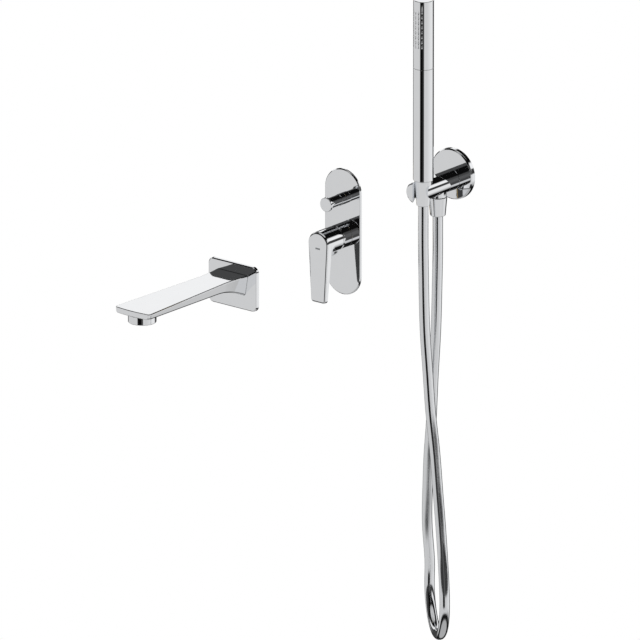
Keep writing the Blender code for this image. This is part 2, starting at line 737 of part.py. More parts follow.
def diverter(group, slider):
    """The pull-out diverter: bonnet and sleeve stay, the knob slides with its rod and spool."""
    at = (0, 0, DIVERTER_AXIS)
    bonnet_radius = DIVERTER_CHAMBER_RADIUS - GAP
    shoulder = BOSS_FRONT - GAP
    front = DIVERTER_SLEEVE_REACH - SLEEVE_LIP - GAP
    guide = ROD_RADIUS + GAP
    turned(
        "diverter_bonnet",
        "brass",
        [
            (guide, -BONNET_BACK),
            (bonnet_radius, -BONNET_BACK),
            (bonnet_radius, shoulder),
            (BONNET_NECK_RADIUS, shoulder),
            (BONNET_NECK_RADIUS, front),
            (guide, front),
        ],
        group,
        at,
    )
    sleeve_bore = BONNET_NECK_RADIUS + GAP
    start = MIXER_PLATE_THICKNESS + GAP
    lip = DIVERTER_SLEEVE_REACH - SLEEVE_LIP
    turned(
        "diverter_sleeve",
        "chrome",
        [
            (sleeve_bore, start),
            (DIVERTER_SLEEVE_RADIUS, start),
            (DIVERTER_SLEEVE_RADIUS, DIVERTER_SLEEVE_REACH),
            (guide, DIVERTER_SLEEVE_REACH),
            (guide, lip),
            (sleeve_bore, lip),
        ],
        group,
        at,
        sides=FINE,
    )
    knob_back = DIVERTER_SLEEVE_REACH + GAP
    cap_back = KNOB_REACH - KNOB_CAP_THICKNESS
    socket = ROD_REACH + GAP
    turned(
        "diverter_knob",
        "chrome",
        [
            (ROD_RADIUS + GAP, knob_back),
            (KNOB_RADIUS, knob_back),
            (KNOB_RADIUS, cap_back),
            (KNOB_CAP_RADIUS, cap_back),
            (KNOB_CAP_RADIUS, KNOB_REACH - KNOB_EDGE),
            (KNOB_CAP_RADIUS - KNOB_EDGE, KNOB_REACH),
            (0, KNOB_REACH),
            (0, socket),
            (ROD_RADIUS + GAP, socket),
        ],
        slider,
        sides=FINE,
    )
    lands = []
    seals = {}
    floor = SPOOL_RADIUS - GROOVE_DEPTH
    spool_front = -BONNET_BACK - GAP - DIVERTER_TRAVEL
    for name, middle in [
        ("diverter_back_seal", -SPOOL_BACK + SPOOL_LAND / 2),
        ("diverter_front_seal", spool_front - SPOOL_LAND / 2),
    ]:
        low = middle - GROOVE_WIDTH / 2
        high = middle + GROOVE_WIDTH / 2
        lands += [
            (ROD_RADIUS, middle - SPOOL_LAND / 2),
            (SPOOL_RADIUS, middle - SPOOL_LAND / 2),
            (SPOOL_RADIUS, low),
            (floor, low),
            (floor, high),
            (SPOOL_RADIUS, high),
            (SPOOL_RADIUS, middle + SPOOL_LAND / 2),
            (ROD_RADIUS, middle + SPOOL_LAND / 2),
        ]
        seals[name] = middle
    turned(
        "diverter_rod",
        "steel",
        [(0, -SPOOL_BACK), *lands, (ROD_RADIUS, ROD_REACH), (0, ROD_REACH)],
        slider,
        sides=16,
    )
    for name, middle in seals.items():
        o_ring(name, slider, floor + GAP + 2 * (GROOVE_WIDTH / 2 - GAP), floor + GAP, middle)


def build_mixer():
    """The mixer, whose lever turns on the spindle and lifts on the pivot in it."""
    group = empty("mixer", (0, 0, 0))
    spindle = empty("lever_spindle", (0, 0, LEVER_AXIS), group)
    pivot = empty("lever_pivot", (0, -LEVER_PIVOT_OUT, 0), spindle)
    slider = empty("diverter_slider", (0, 0, DIVERTER_AXIS), group)
    mixer_plate(group)
    mixer_body(group)
    cartridge(group, spindle)
    cartridge_sleeve(group)
    lever(pivot)
    diverter(group, slider)


# ---------------------------------------------------------------- spout


def spout_length():
    return SPOUT_REACH - SPOUT_PLATE_THICKNESS - GAP


def spout_half_width(along):
    """Half the top face's width: wide at the wall, a waist, then wider again to the tip."""
    waist = SPOUT_WAIST_WIDTH / 2
    if along < SPOUT_FLARE:
        return waist + (SPOUT_ROOT_WIDTH / 2 - waist) * (1 - along / SPOUT_FLARE) ** 2
    share = (along - SPOUT_FLARE) / (spout_length() - SPOUT_FLARE)
    return waist + (SPOUT_TIP_WIDTH / 2 - waist) * share


def spout_height(along):
    """The spout's height: a concave curve from the wall to the heel, then an even taper."""
    if along < SPOUT_FILLET:
        rise = SPOUT_ROOT_HEIGHT - SPOUT_HEEL_HEIGHT
        return SPOUT_HEEL_HEIGHT + rise * (1 - along / SPOUT_FILLET) ** 2
    share = (along - SPOUT_FILLET) / (spout_length() - SPOUT_FILLET)
    return SPOUT_HEEL_HEIGHT + (SPOUT_TIP_HEIGHT - SPOUT_HEEL_HEIGHT) * share


def spout_section(along):
    """One cross-section, with its top face at y = 0 and its front face bowed forward."""
    length = spout_length()
    half = spout_half_width(along)
    into_corner = along - (length - SPOUT_TIP_CORNER)
    if into_corner > 0:
        half -= SPOUT_TIP_CORNER - math.sqrt(max(SPOUT_TIP_CORNER**2 - into_corner**2, 0))
    height = spout_height(along)
    low_half = half - height * math.tan(SPOUT_DRAFT)
    corners = [(half, 0), (-half, 0), (-low_half, -height), (low_half, -height)]
    radii = [SPOUT_EDGE, SPOUT_EDGE, SPOUT_BOTTOM_EDGE, SPOUT_BOTTOM_EDGE]
    section = []
    for point in rounded(corners, radii, 3):
        bow = SPOUT_TIP_BOW * (point.x / (SPOUT_TIP_WIDTH / 2)) ** 2 * (along / length) ** 3
        section.append((point.x, point.y, along - bow))
    return section


def build_spout():
    """The bath spout with its wall plate, supply nipple and aerator."""
    group = empty("spout", (SPOUT_X, 0, SPOUT_Z))
    top = SPOUT_PLATE_HEIGHT / 2 - SPOUT_TOP_DROP
    axis = top - SPIGOT_DROP
    plate = wall_plate(
        "spout_wall_plate",
        "spout_gasket",
        group,
        (SPOUT_PLATE_WIDTH, SPOUT_PLATE_HEIGHT),
        SPOUT_PLATE_CORNER,
        SPOUT_PLATE_THICKNESS,
        SPOUT_PLATE_BEVEL,
        4,
    )
    nipple_hole = rod(
        "spout_plate_hole",
        None,
        HALF_INCH_RADIUS + HOLE_CLEARANCE,
        -BEYOND,
        SPOUT_PLATE_THICKNESS + BEYOND,
        group,
        (0, 0, axis),
    )
    cut(plate, nipple_hole)

    root = SPOUT_PLATE_THICKNESS + GAP
    length = spout_length()
    curved = [SPOUT_FILLET * step / 8 for step in range(8)]
    straight = list(np.linspace(SPOUT_FILLET, length - SPOUT_TIP_CORNER, 6))
    tip = [length - SPOUT_TIP_CORNER * (1 - math.sin(math.radians(angle))) for angle in (25, 50, 70, 86)]
    stations = curved + straight + tip
    body = lofted(
        "spout_body", "chrome", [spout_section(along) for along in stations], group, (0, -root, top)
    )
    outlet = (0, AERATOR_SETBACK - SPOUT_REACH, top)
    seat = spout_height(length - AERATOR_SETBACK - AERATOR_RADIUS)
    seat_radius = AERATOR_RADIUS * AERATOR_SEAT
    collar = rod("aerator_seat", None, seat_radius, AERATOR_SEAT_TOP, seat, group, outlet, DOWNWARD, FINE)
    join(body, collar)

    thread_top = seat - AERATOR_THREAD_LENGTH
    bore_top = thread_top - AERATOR_WASHER - 2 * GAP
    spigot_bore = rod(
        "spigot_bore",
        None,
        SPIGOT_RADIUS + GAP,
        root - BEYOND,
        root + SPIGOT_LENGTH + GAP,
        group,
        (0, 0, axis),
    )
    middle = WATERWAY_DROP + WATERWAY_HEIGHT / 2
    waterway = block(
        "spout_waterway",
        None,
        (-WATERWAY_WIDTH / 2, -(SPOUT_REACH - AERATOR_SETBACK), top - middle - WATERWAY_HEIGHT / 2),
        (WATERWAY_WIDTH / 2, -(root + SPIGOT_LENGTH - BEYOND), top - middle + WATERWAY_HEIGHT / 2),
        group,
    )
    aerator_bore = rod(
        "aerator_bore",
        None,
        AERATOR_THREAD_RADIUS + GAP,
        bore_top,
        seat + BEYOND,
        group,
        outlet,
        DOWNWARD,
        FINE,
    )
    screw_place = (0, -(root + SPIGOT_LENGTH / 3), axis)
    screw_start = SPIGOT_RADIUS + GAP
    screw_hole = rod(
        "spout_screw_hole",
        None,
        SCREW_RADIUS + GAP,
        screw_start - BEYOND,
        SPOUT_ROOT_HEIGHT,
        group,
        screw_place,
        DOWNWARD,
        12,
    )
    cut(body, spigot_bore, waterway, aerator_bore, screw_hole)
    rod("spout_set_screw", "steel", SCREW_RADIUS, screw_start, screw_start + SCREW_LENGTH, group,
        screw_place, DOWNWARD, 12)

    spigot_end = root + SPIGOT_LENGTH
    seal = spigot_end - GROOVE_WIDTH * 1.5
    shoulder = SPOUT_PLATE_THICKNESS - GAP
    spigot = grooved(PIPE_END, spigot_end, SPIGOT_RADIUS, SPIGOT_WATERWAY, seal)
    spigot[1:2] = [(HALF_INCH_RADIUS, PIPE_END), (HALF_INCH_RADIUS, shoulder), (SPIGOT_RADIUS, shoulder)]
    turned("spout_nipple", "brass", spigot, group, (0, 0, axis))
    o_ring("spout_o_ring", group, SPIGOT_RADIUS, SPIGOT_RADIUS - GROOVE_DEPTH + GAP, seal, (0, 0, axis))

    collar_top = seat + GAP
    collar_bottom = collar_top + AERATOR_HEIGHT
    lip = collar_bottom - AERATOR_LIP
    turned(
        "aerator_housing",
        "chrome",
        [
            (AERATOR_BORE_RADIUS, thread_top),
            (AERATOR_THREAD_RADIUS, thread_top),
            (AERATOR_THREAD_RADIUS, collar_top),
            (AERATOR_RADIUS, collar_top),
            (AERATOR_RADIUS, collar_bottom - AERATOR_LIP),
            (AERATOR_RADIUS - AERATOR_LIP, collar_bottom),
            (AERATOR_BORE_RADIUS - AERATOR_LIP, collar_bottom),
            (AERATOR_BORE_RADIUS - AERATOR_LIP, lip),
            (AERATOR_BORE_RADIUS, lip),
        ],
        group,
        outlet,
        DOWNWARD,
        FINE,
    )
    insert_end = lip - GAP
    insert_start = insert_end - AERATOR_INSERT_HEIGHT
    insert_radius = AERATOR_BORE_RADIUS - GAP
    insert = rod("aerator_insert", "white_plastic", insert_radius, insert_start, insert_end, group, outlet,
                 DOWNWARD)
    places = [(0, 0)]
    for step in range(6):
        angle = math.radians(60 * step)
        places.append((STREAM_HOLE_CIRCLE * math.cos(angle), STREAM_HOLE_CIRCLE * math.sin(angle)))
    for index, (x, y) in enumerate(places):
        place = (outlet[0] + x, outlet[1] + y, outlet[2])
        hole = rod("stream_hole_%d" % index, None, STREAM_HOLE_RADIUS, insert_start - BEYOND,
                   insert_end + BEYOND, group, place, DOWNWARD, 8)
        cut(insert, hole)
    washer_start = bore_top + GAP
    tube("aerator_washer", "rubber", AERATOR_THREAD_RADIUS, AERATOR_BORE_RADIUS, washer_start,
         washer_start + AERATOR_WASHER, group, outlet, DOWNWARD)


# ---------------------------------------------------------------- shower outlet


def holder_arm(group):
    """The elbow: a horizontal bar with the hose's boss below it and the hand shower's cradle,
    a tapered bore that is open at the front, at its end."""
    root = OUTLET_PLATE_THICKNESS + GAP
    axis = (0, 0, -ARM_DROP)
    arm = turned(
        "holder_arm",
        "chrome",
        [
            (0, root),
            (ARM_RADIUS, root),
            (ARM_RADIUS, ARM_REACH - ARM_DOME),
            (ARM_RADIUS * ARM_COLLAR, ARM_REACH - ARM_DOME / 3),
            (0, ARM_REACH),
        ],
        group,
        axis,
        sides=FINE,
    )
    boss = (0, -HOSE_OUT, -ARM_DROP)
    join(arm, rod("hose_boss", None, BOSS_RADIUS, 0, BOSS_DROP, group, boss, DOWNWARD, FINE))

    flat_end = HANDSET_OUT - HANDSET_RADIUS - GAP
    flat = block(
        "arm_flat",
        None,
        (-ARM_RADIUS, -flat_end, ARM_RADIUS - ARM_FLAT - ARM_DROP),
        (ARM_RADIUS, -root + BEYOND, ARM_RADIUS + BEYOND - ARM_DROP),
        group,
    )
    nipple_bore = rod(
        "arm_nipple_bore", None, HALF_INCH_RADIUS + GAP, root - BEYOND, root + NIPPLE_DEPTH, group, axis
    )
    waterway = rod("arm_waterway", None, NIPPLE_WATERWAY, root, HOSE_OUT + NIPPLE_WATERWAY, group, axis)
    connector_bore = rod(
        "connector_bore",
        None,
        NIPPLE_RADIUS + GAP,
        BOSS_DROP - NIPPLE_LENGTH,
        BOSS_DROP + BEYOND,
        group,
        boss,
        DOWNWARD,
    )
    drop = rod("arm_drop", None, NIPPLE_WATERWAY, 0, BOSS_DROP, group, boss, DOWNWARD)
    cradle = (0, -HANDSET_OUT, -ARM_DROP)
    taper = (CONE_TOP_RADIUS - CONE_BOTTOM_RADIUS) / CONE_LENGTH
    top = ARM_RADIUS + BEYOND
    bore_top = CONE_TOP_RADIUS + GAP + taper * BEYOND
    bore_bottom = CONE_TOP_RADIUS + GAP - taper * (2 * ARM_RADIUS + BEYOND)
    cradle_bore = turned(
        "cradle_bore",
        None,
        [(0, -top), (bore_bottom, -top), (bore_top, top), (0, top)],
        group,
        cradle,
        UPWARD,
        FINE,
    )
    mouth = block(
        "cradle_mouth",
        None,
        (-CRADLE_MOUTH / 2, -ARM_RADIUS * 3, -top),
        (CRADLE_MOUTH / 2, 0, top),
        group,
        cradle,
        Matrix.Rotation(CRADLE_TURN, 4, "Z"),
    )
    screw_place = (0, -(root + NIPPLE_DEPTH / 3), -ARM_DROP)
    screw_start = HALF_INCH_RADIUS + GAP
    screw_hole = rod("arm_screw_hole", None, SCREW_RADIUS + GAP, screw_start - BEYOND, ARM_RADIUS + BEYOND,
                     group, screw_place, DOWNWARD, 12)
    cut(arm, flat, nipple_bore, waterway, connector_bore, drop, cradle_bore, mouth, screw_hole)
    rod("outlet_set_screw", "steel", SCREW_RADIUS, screw_start, ARM_RADIUS - GAP, group, screw_place,
        DOWNWARD, 12)

    nipple_end = root + NIPPLE_DEPTH - GAP
    seal = nipple_end - GROOVE_WIDTH * 1.5
    profile = grooved(PIPE_END, nipple_end, HALF_INCH_RADIUS, THREAD_WATERWAY, seal)
    turned("outlet_nipple", "brass", profile, group, axis)
    o_ring("outlet_o_ring", group, HALF_INCH_RADIUS, HALF_INCH_RADIUS - GROOVE_DEPTH + GAP, seal, axis)


def hose_end(prefix, group, place, nut_top, length, radii, nipple_bottom, members):
    """A hose nut with its washer and the ferrule that the hose is crimped into. Distances run down
    from the nut's top, and `members` gives each piece's parent."""
    top_radius, bottom_radius = radii
    bore = NIPPLE_RADIUS + GAP
    washer_top = nipple_bottom + GAP
    flange_top = washer_top + WASHER_THICKNESS + GAP
    flange_bottom = flange_top + FERRULE_FLANGE
    shelf = flange_bottom + GAP
    hose_bore = HOSE_RADIUS + HOSE_PLAY
    turned(
        prefix + "_hose_nut",
        "chrome",
        [
            (bore, nut_top),
            (top_radius - HANDSET_EDGE, nut_top),
            (top_radius, nut_top + HANDSET_EDGE),
            (bottom_radius, nut_top + length - HANDSET_EDGE),
            (bottom_radius - HANDSET_EDGE, nut_top + length),
            (hose_bore, nut_top + length),
            (hose_bore, shelf),
            (bore, shelf),
        ],
        members["nut"],
        place,
        DOWNWARD,
        FINE,
    )
    tube(prefix + "_hose_washer", "rubber", NIPPLE_RADIUS, NIPPLE_WATERWAY - GAP, washer_top,
         washer_top + WASHER_THICKNESS, members["nut"], place, DOWNWARD)
    ferrule_end = nut_top + length - NUT_LIP_COVER - GAP
    turned(
        prefix + "_hose_ferrule",
        "brass",
        [
            (FERRULE_WATERWAY, flange_top),
            (NIPPLE_RADIUS, flange_top),
            (NIPPLE_RADIUS, flange_bottom),
            (HOSE_RADIUS, flange_bottom),
            (HOSE_RADIUS, ferrule_end),
            (FERRULE_WATERWAY, ferrule_end),
        ],
        members["ferrule"],
        place,
        DOWNWARD,
    )


def hose_centre_line():
    """Points at an even spacing along the natural cubic spline through the hose's route."""
    knots = np.array(HOSE_ROUTE)
    steps = np.linalg.norm(np.diff(knots, axis=0), axis=1)
    places = np.concatenate([[0], np.cumsum(steps)])
    count = len(knots)
    matrix = np.eye(count)
    right = np.zeros((count, 3))
    for row in range(1, count - 1):
        before, after = steps[row - 1], steps[row]
        matrix[row, row - 1 : row + 2] = before, 2 * (before + after), after
        slopes = (knots[row + 1] - knots[row]) / after - (knots[row] - knots[row - 1]) / before
        right[row] = 6 * slopes
    bends = np.linalg.solve(matrix, right)

    def along(distance):
        row = min(int(np.searchsorted(places, distance, side="right")) - 1, count - 2)
        gap = steps[row]
        low = (places[row + 1] - distance) / gap
        high = 1 - low
        curve = (low**3 - low) * bends[row] + (high**3 - high) * bends[row + 1]
        return low * knots[row] + high * knots[row + 1] + curve * gap**2 / 6

    pieces = round(places[-1] / HOSE_POINT_SPACING)
    return [along(distance) for distance in np.linspace(0, places[-1], pieces + 1)]


def shower_hose(group):
    """The hose as a round tube along its centre line."""
    curve = bpy.data.curves.new("shower_hose", "CURVE")
    curve.dimensions = "3D"
    curve.bevel_depth = HOSE_RADIUS
    curve.bevel_resolution = 2
    curve.use_fill_caps = True
    points = hose_centre_line()
    line = curve.splines.new("POLY")
    line.points.add(len(points) - 1)
    for target, point in zip(line.points, points):
        target.co = (*point, 1)
    add_object("shower_hose", curve, "hose_silver", group, (0, 0, 0), UPWARD)


def hand_shower(handset):
    """The stick: a tube with the nipple for its nut, and the spray head screwed on its top."""
    head_base = HANDSET_LENGTH - HANDSET_HEAD_LENGTH
    tube_top = head_base - GAP
    collar_radius = HEAD_BORE - GAP
    collar_top = tube_top + COLLAR_LENGTH
    seal = collar_top - GROOVE_WIDTH * 1.5
    floor = collar_radius - GROOVE_DEPTH
    low = seal - GROOVE_WIDTH / 2
    high = seal + GROOVE_WIDTH / 2
    turned(
        "handset_tube",
        "chrome",
        [
            (NIPPLE_WATERWAY, -NIPPLE_LENGTH),
            (NIPPLE_RADIUS, -NIPPLE_LENGTH),
            (NIPPLE_RADIUS, 0),
            (HANDSET_RADIUS - HANDSET_EDGE, 0),
            (HANDSET_RADIUS, HANDSET_EDGE),
            (HANDSET_RADIUS, tube_top),
            (collar_radius, tube_top),
            (collar_radius, low),
            (floor, low),
            (floor, high),
            (collar_radius, high),
            (collar_radius, collar_top),
            (HANDSET_TUBE_BORE, collar_top),
            (HANDSET_TUBE_BORE, NIPPLE_LENGTH),
            (NIPPLE_WATERWAY, NIPPLE_LENGTH),
        ],
        handset,
        facing=UPWARD,
        sides=FINE,
    )
    o_ring("handset_o_ring", handset, collar_radius, floor + GAP, seal, facing=UPWARD)
    crown = HANDSET_LENGTH - HEAD_CROWN
    head = turned(
        "handset_head",
        "chrome",
        [
            (HEAD_BORE, head_base),
            (HANDSET_RADIUS, head_base),
            (HANDSET_RADIUS, HANDSET_LENGTH - HANDSET_EDGE),
            (HANDSET_RADIUS - HANDSET_EDGE, HANDSET_LENGTH),
            (0, HANDSET_LENGTH),
            (0, crown),
            (HEAD_BORE, crown),
        ],
        handset,
        facing=UPWARD,
        sides=FINE,
    )
    hole_ends = (HEAD_BORE - BEYOND, HANDSET_RADIUS + BEYOND)
    cut(head, nozzle_pegs("nozzle_holes", NOZZLE_HOLE_RADIUS, *hole_ends, handset))
    bed_outer = HEAD_BORE - GAP
    bed_inner = bed_outer - NOZZLE_BED
    last_row = NOZZLE_FIRST + NOZZLE_PITCH * (NOZZLE_ROWS - 1)
    loops = []
    for distance in (last_row + NOZZLE_PITCH, NOZZLE_FIRST - NOZZLE_PITCH):
        height = HANDSET_LENGTH - distance
        arc = np.linspace(-NOZZLE_BED_HALF_ANGLE, NOZZLE_BED_HALF_ANGLE, 11)
        outer = [(bed_outer * math.sin(angle), -bed_outer * math.cos(angle), height) for angle in arc]
        inner = [(bed_inner * math.sin(angle), -bed_inner * math.cos(angle), height) for angle in arc[::-1]]
        loops.append(outer + inner)
    bed = lofted("handset_nozzles", "nozzle_grey", loops, handset, facing=UPWARD)
    join(bed, nozzle_pegs("nozzle_tips", NOZZLE_RADIUS, bed_outer - NOZZLE_BED / 2,
                          HANDSET_RADIUS + NOZZLE_PROUD, handset))


def nozzle_pegs(name, radius, start, end, handset):
    """One short peg for each spray nozzle, standing out of the head's front."""
    shape = bmesh.new()
    for row in range(NOZZLE_ROWS):
        height = HANDSET_LENGTH - NOZZLE_FIRST - NOZZLE_PITCH * row
        for angle in NOZZLE_ANGLES:
            aim = Matrix.Rotation(math.radians(angle), 4, "Z") @ OUTWARD
            place = Matrix.Translation((0, 0, height)) @ aim
            bmesh.ops.create_cone(
                shape,
                cap_ends=True,
                segments=6,
                radius1=radius,
                radius2=radius,
                depth=end - start,
                matrix=place @ Matrix.Translation((0, 0, (start + end) / 2)),
            )
    return mesh_object(name, shape, None, handset, (0, 0, 0), UPWARD)


def build_shower():
    """The outlet elbow, the hose with its two nuts, and the hand shower in its cradle."""
    group = empty("shower_outlet", (OUTLET_X, 0, OUTLET_Z))
    plate = wall_plate(
        "outlet_wall_plate",
        "outlet_gasket",
        group,
        (2 * OUTLET_PLATE_RADIUS, 2 * OUTLET_PLATE_RADIUS),
        OUTLET_PLATE_RADIUS,
        OUTLET_PLATE_THICKNESS,
        OUTLET_PLATE_BEVEL,
        12,
    )
    hole_radius = HALF_INCH_RADIUS + HOLE_CLEARANCE
    ends = (-BEYOND, OUTLET_PLATE_THICKNESS + BEYOND)
    cut(plate, rod("outlet_plate_hole", None, hole_radius, *ends, group, (0, 0, -ARM_DROP)))
    holder_arm(group)

    boss_bottom = BOSS_DROP
    connector_top = boss_bottom - NIPPLE_LENGTH + GAP
    connector_bottom = boss_bottom + NIPPLE_LENGTH
    boss = (0, -HOSE_OUT, -ARM_DROP)
    tube("hose_connector", "brass", NIPPLE_RADIUS, NIPPLE_WATERWAY, connector_top, connector_bottom, group,
         boss, DOWNWARD)
    valve_radius = NIPPLE_WATERWAY - GAP
    valve_end = connector_bottom - BEYOND
    tube("check_valve", "white_plastic", valve_radius, valve_radius - CHECK_VALVE_WALL,
         valve_end - CHECK_VALVE_LENGTH, valve_end, group, boss, DOWNWARD)
    hose_end(
        "outlet",
        group,
        boss,
        boss_bottom + GAP,
        HOSE_NUT_LENGTH,
        (HOSE_NUT_TOP_RADIUS, HOSE_NUT_BOTTOM_RADIUS),
        connector_bottom,
        {"nut": group, "ferrule": group},
    )
    handset_base = ARM_RADIUS - ARM_DROP + GAP
    lift = empty("handset_lift", (0, -HANDSET_OUT, handset_base), group)
    handset = empty("handset", (0, 0, 0), lift)
    hose_end(
        "handset",
        group,
        (0, 0, 0),
        GAP,
        CONE_LENGTH,
        (CONE_TOP_RADIUS, CONE_BOTTOM_RADIUS),
        NIPPLE_LENGTH,
        {"nut": handset, "ferrule": lift},
    )
    hand_shower(handset)
    shower_hose(group)


clear_scene()
build_mixer()
build_spout()
build_shower()
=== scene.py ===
# %% [markdown]
# # A wall mounted bath faucet in polished chrome
#
# Three groups hang on one bathroom wall: a bath spout, a built-in mixer with a lever and a pull-out
# diverter, and an outlet elbow that holds a stick hand shower on its hose. The imported model gives
# each piece its place and its joints. Here each piece that shows gets a fine surface, worked out with
# numpy, because polished chrome is a mirror and a mirror shows every flat facet.
#
# The frame is loaded first. The fine pieces have to stay inside it.

import bmesh
import bpy
import numpy as np
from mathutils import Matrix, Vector


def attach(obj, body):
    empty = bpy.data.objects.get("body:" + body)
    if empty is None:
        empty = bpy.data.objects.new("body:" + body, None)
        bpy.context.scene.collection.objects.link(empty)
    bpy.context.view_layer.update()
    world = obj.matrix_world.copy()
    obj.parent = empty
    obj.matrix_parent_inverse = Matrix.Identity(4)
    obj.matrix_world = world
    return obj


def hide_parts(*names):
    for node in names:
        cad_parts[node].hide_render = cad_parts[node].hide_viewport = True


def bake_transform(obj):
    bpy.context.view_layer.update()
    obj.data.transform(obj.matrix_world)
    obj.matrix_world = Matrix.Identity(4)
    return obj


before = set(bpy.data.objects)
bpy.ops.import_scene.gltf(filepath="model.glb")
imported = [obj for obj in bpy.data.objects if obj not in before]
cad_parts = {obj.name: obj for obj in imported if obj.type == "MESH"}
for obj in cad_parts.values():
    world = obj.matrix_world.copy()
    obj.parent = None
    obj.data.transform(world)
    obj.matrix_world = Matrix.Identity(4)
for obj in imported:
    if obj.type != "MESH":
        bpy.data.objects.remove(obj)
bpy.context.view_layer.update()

# %% [markdown]
# ## Shader maths
#
# A material is a graph of small nodes. Wiring each one by hand hides the formula, so one small class
# wraps a socket: adding or multiplying two of them adds the Math node that does it.

# %% Sockets that take part in sums
class Wire:
    """A socket of a material's graph. Sums, differences and products of wires add Math nodes."""

    def __init__(self, graph, socket):
        self.graph = graph
        self.socket = socket

    def node(self, kind, settings=None, inputs=None, output=0):
        """Adds a node of this kind: its settings first, then a value or a wire for each socket."""
        made = self.graph.nodes.new(kind)
        for name, value in (settings or {}).items():
            if name == "stops":
                ramp = made.color_ramp.elements
                while len(ramp) < len(value):
                    ramp.new(0.5)
                for stop, (place, colour) in zip(ramp, value):
                    stop.position = place
                    stop.color = (*colour, 1)
            else:
                setattr(made, name, value)
        for name, value in (inputs or {}).items():
            if isinstance(value, Wire):
                self.graph.links.new(value.socket, made.inputs[name])
            else:
                made.inputs[name].default_value = value
        return Wire(self.graph, made.outputs[output])

    def math(self, operation, *values):
        """A Math node on these values, such as SINE of one or MAXIMUM of two."""
        return self.node("ShaderNodeMath", {"operation": operation}, dict(enumerate(values)))

    def fade(self, low, high):
        """0 below `low` and 1 above `high`, with a smooth S between; swapped limits turn it round."""
        inputs = {"Value": self, "From Min": low, "From Max": high}
        return self.node("ShaderNodeMapRange", {"interpolation_type": "SMOOTHSTEP"}, inputs)

    def __add__(self, other):
        return self.math("ADD", self, other)

    def __sub__(self, other):
        return self.math("SUBTRACT", self, other)

    def __mul__(self, other):
        return self.math("MULTIPLY", self, other)

    def __rsub__(self, other):
        return self.math("SUBTRACT", other, self)

    __radd__ = __add__
    __rmul__ = __mul__


# %% [markdown]
# ## Finishes
#
# Real chrome isn't perfectly clean or flat. A polished casting keeps a slow waviness that bends its
# reflections a little, and a thin haze of wiping marks and dried water that roughens them in patches.
# Both are noise on Object coordinates, which stay with the piece as it moves. The brass, rubber and
# plastic that sit inside the wall get the grain of casting, moulding and turning.

# %% A finish with grain, haze and waviness
def finish(name, colour, roughness, metallic, haze=0.0, spots=0.0, tint=0.0, bumps=()):
    """A Principled material. `haze` is how far roughness varies over some 15 mm, `spots` adds small
    dull marks, `tint` darkens the colour in patches, and `bumps` holds (scale, height, stretch) of
    the fine grains, each a noise whose height is in metres."""
    material = bpy.data.materials.new(name)
    material.use_nodes = True
    graph = material.node_tree
    shader = graph.nodes["Principled BSDF"]
    shader.inputs["Metallic"].default_value = metallic
    place = Wire(graph, graph.nodes.new("ShaderNodeTexCoord").outputs["Object"])
    noise = {"Vector": place, "Scale": 65.0, "Detail": 4.0}
    cloud = place.node("ShaderNodeTexNoise", {}, noise)
    fine = place.node("ShaderNodeTexNoise", {}, {"Vector": place, "Scale": 900.0, "Detail": 2.0})
    marks = fine.fade(0.64, 0.72) * cloud.fade(0.45, 0.6)
    rough = roughness + (cloud - 0.5) * haze + marks * spots
    graph.links.new(rough.socket, shader.inputs["Roughness"])
    darker = tuple(part * (1 - tint) for part in colour)
    stops = [(0.3, darker), (0.7, colour)]
    shade = cloud.node("ShaderNodeValToRGB", {"stops": stops}, {"Fac": cloud})
    graph.links.new(shade.socket, shader.inputs["Base Color"])
    normal = None
    for scale, height, stretch in bumps:
        mapped = place.node("ShaderNodeMapping", {}, {"Vector": place, "Scale": stretch})
        grain = place.node("ShaderNodeTexNoise", {}, {"Vector": mapped, "Scale": scale, "Detail": 3.0})
        inputs = {"Height": grain, "Distance": height, "Strength": 1.0}
        if normal:
            inputs["Normal"] = normal
        normal = place.node("ShaderNodeBump", {}, inputs)
    if normal:
        graph.links.new(normal.socket, shader.inputs["Normal"])
    return material


EVEN = (1, 1, 1)
chrome = finish("chrome", (0.92, 0.93, 0.945), 0.035, 1.0, haze=0.03, spots=0.02, tint=0.015)
brass = finish(
    "brass", (0.74, 0.56, 0.27), 0.34, 1.0, haze=0.25, spots=0.1, tint=0.35, bumps=[(700, 0.00012, EVEN)]
)
steel = finish(
    "steel", (0.60, 0.60, 0.61), 0.26, 1.0, haze=0.12, tint=0.1, bumps=[(1500, 0.00002, (1, 1, 0.1))]
)
rubber = finish("rubber", (0.028, 0.028, 0.030), 0.62, 0.0, haze=0.2, tint=0.3, bumps=[(1600, 0.00004, EVEN)])
nozzle_rubber = finish("nozzle_rubber", (0.78, 0.79, 0.80), 0.5, 0.0, haze=0.15, tint=0.15)
plastic = finish("white_plastic", (0.80, 0.80, 0.78), 0.38, 0.0, haze=0.1, tint=0.05,
                 bumps=[(1300, 0.00002, EVEN)])
ceramic = finish("ceramic", (0.86, 0.84, 0.80), 0.18, 0.0, haze=0.08, tint=0.06)
mark = finish("mark", (0.27, 0.28, 0.29), 0.42, 0.0, haze=0.1, tint=0.1)
print("finishes:", len(bpy.data.materials))

# %% [markdown]
# ## Making a surface
#
# Nearly every piece here is a stack of closed rings: a turned nut is a ring for each point of its
# profile, a spout is a ring for each section, a hose is a ring for each step along it. One helper
# joins a grid of points into faces. Lengths are millimetres until they reach the mesh.

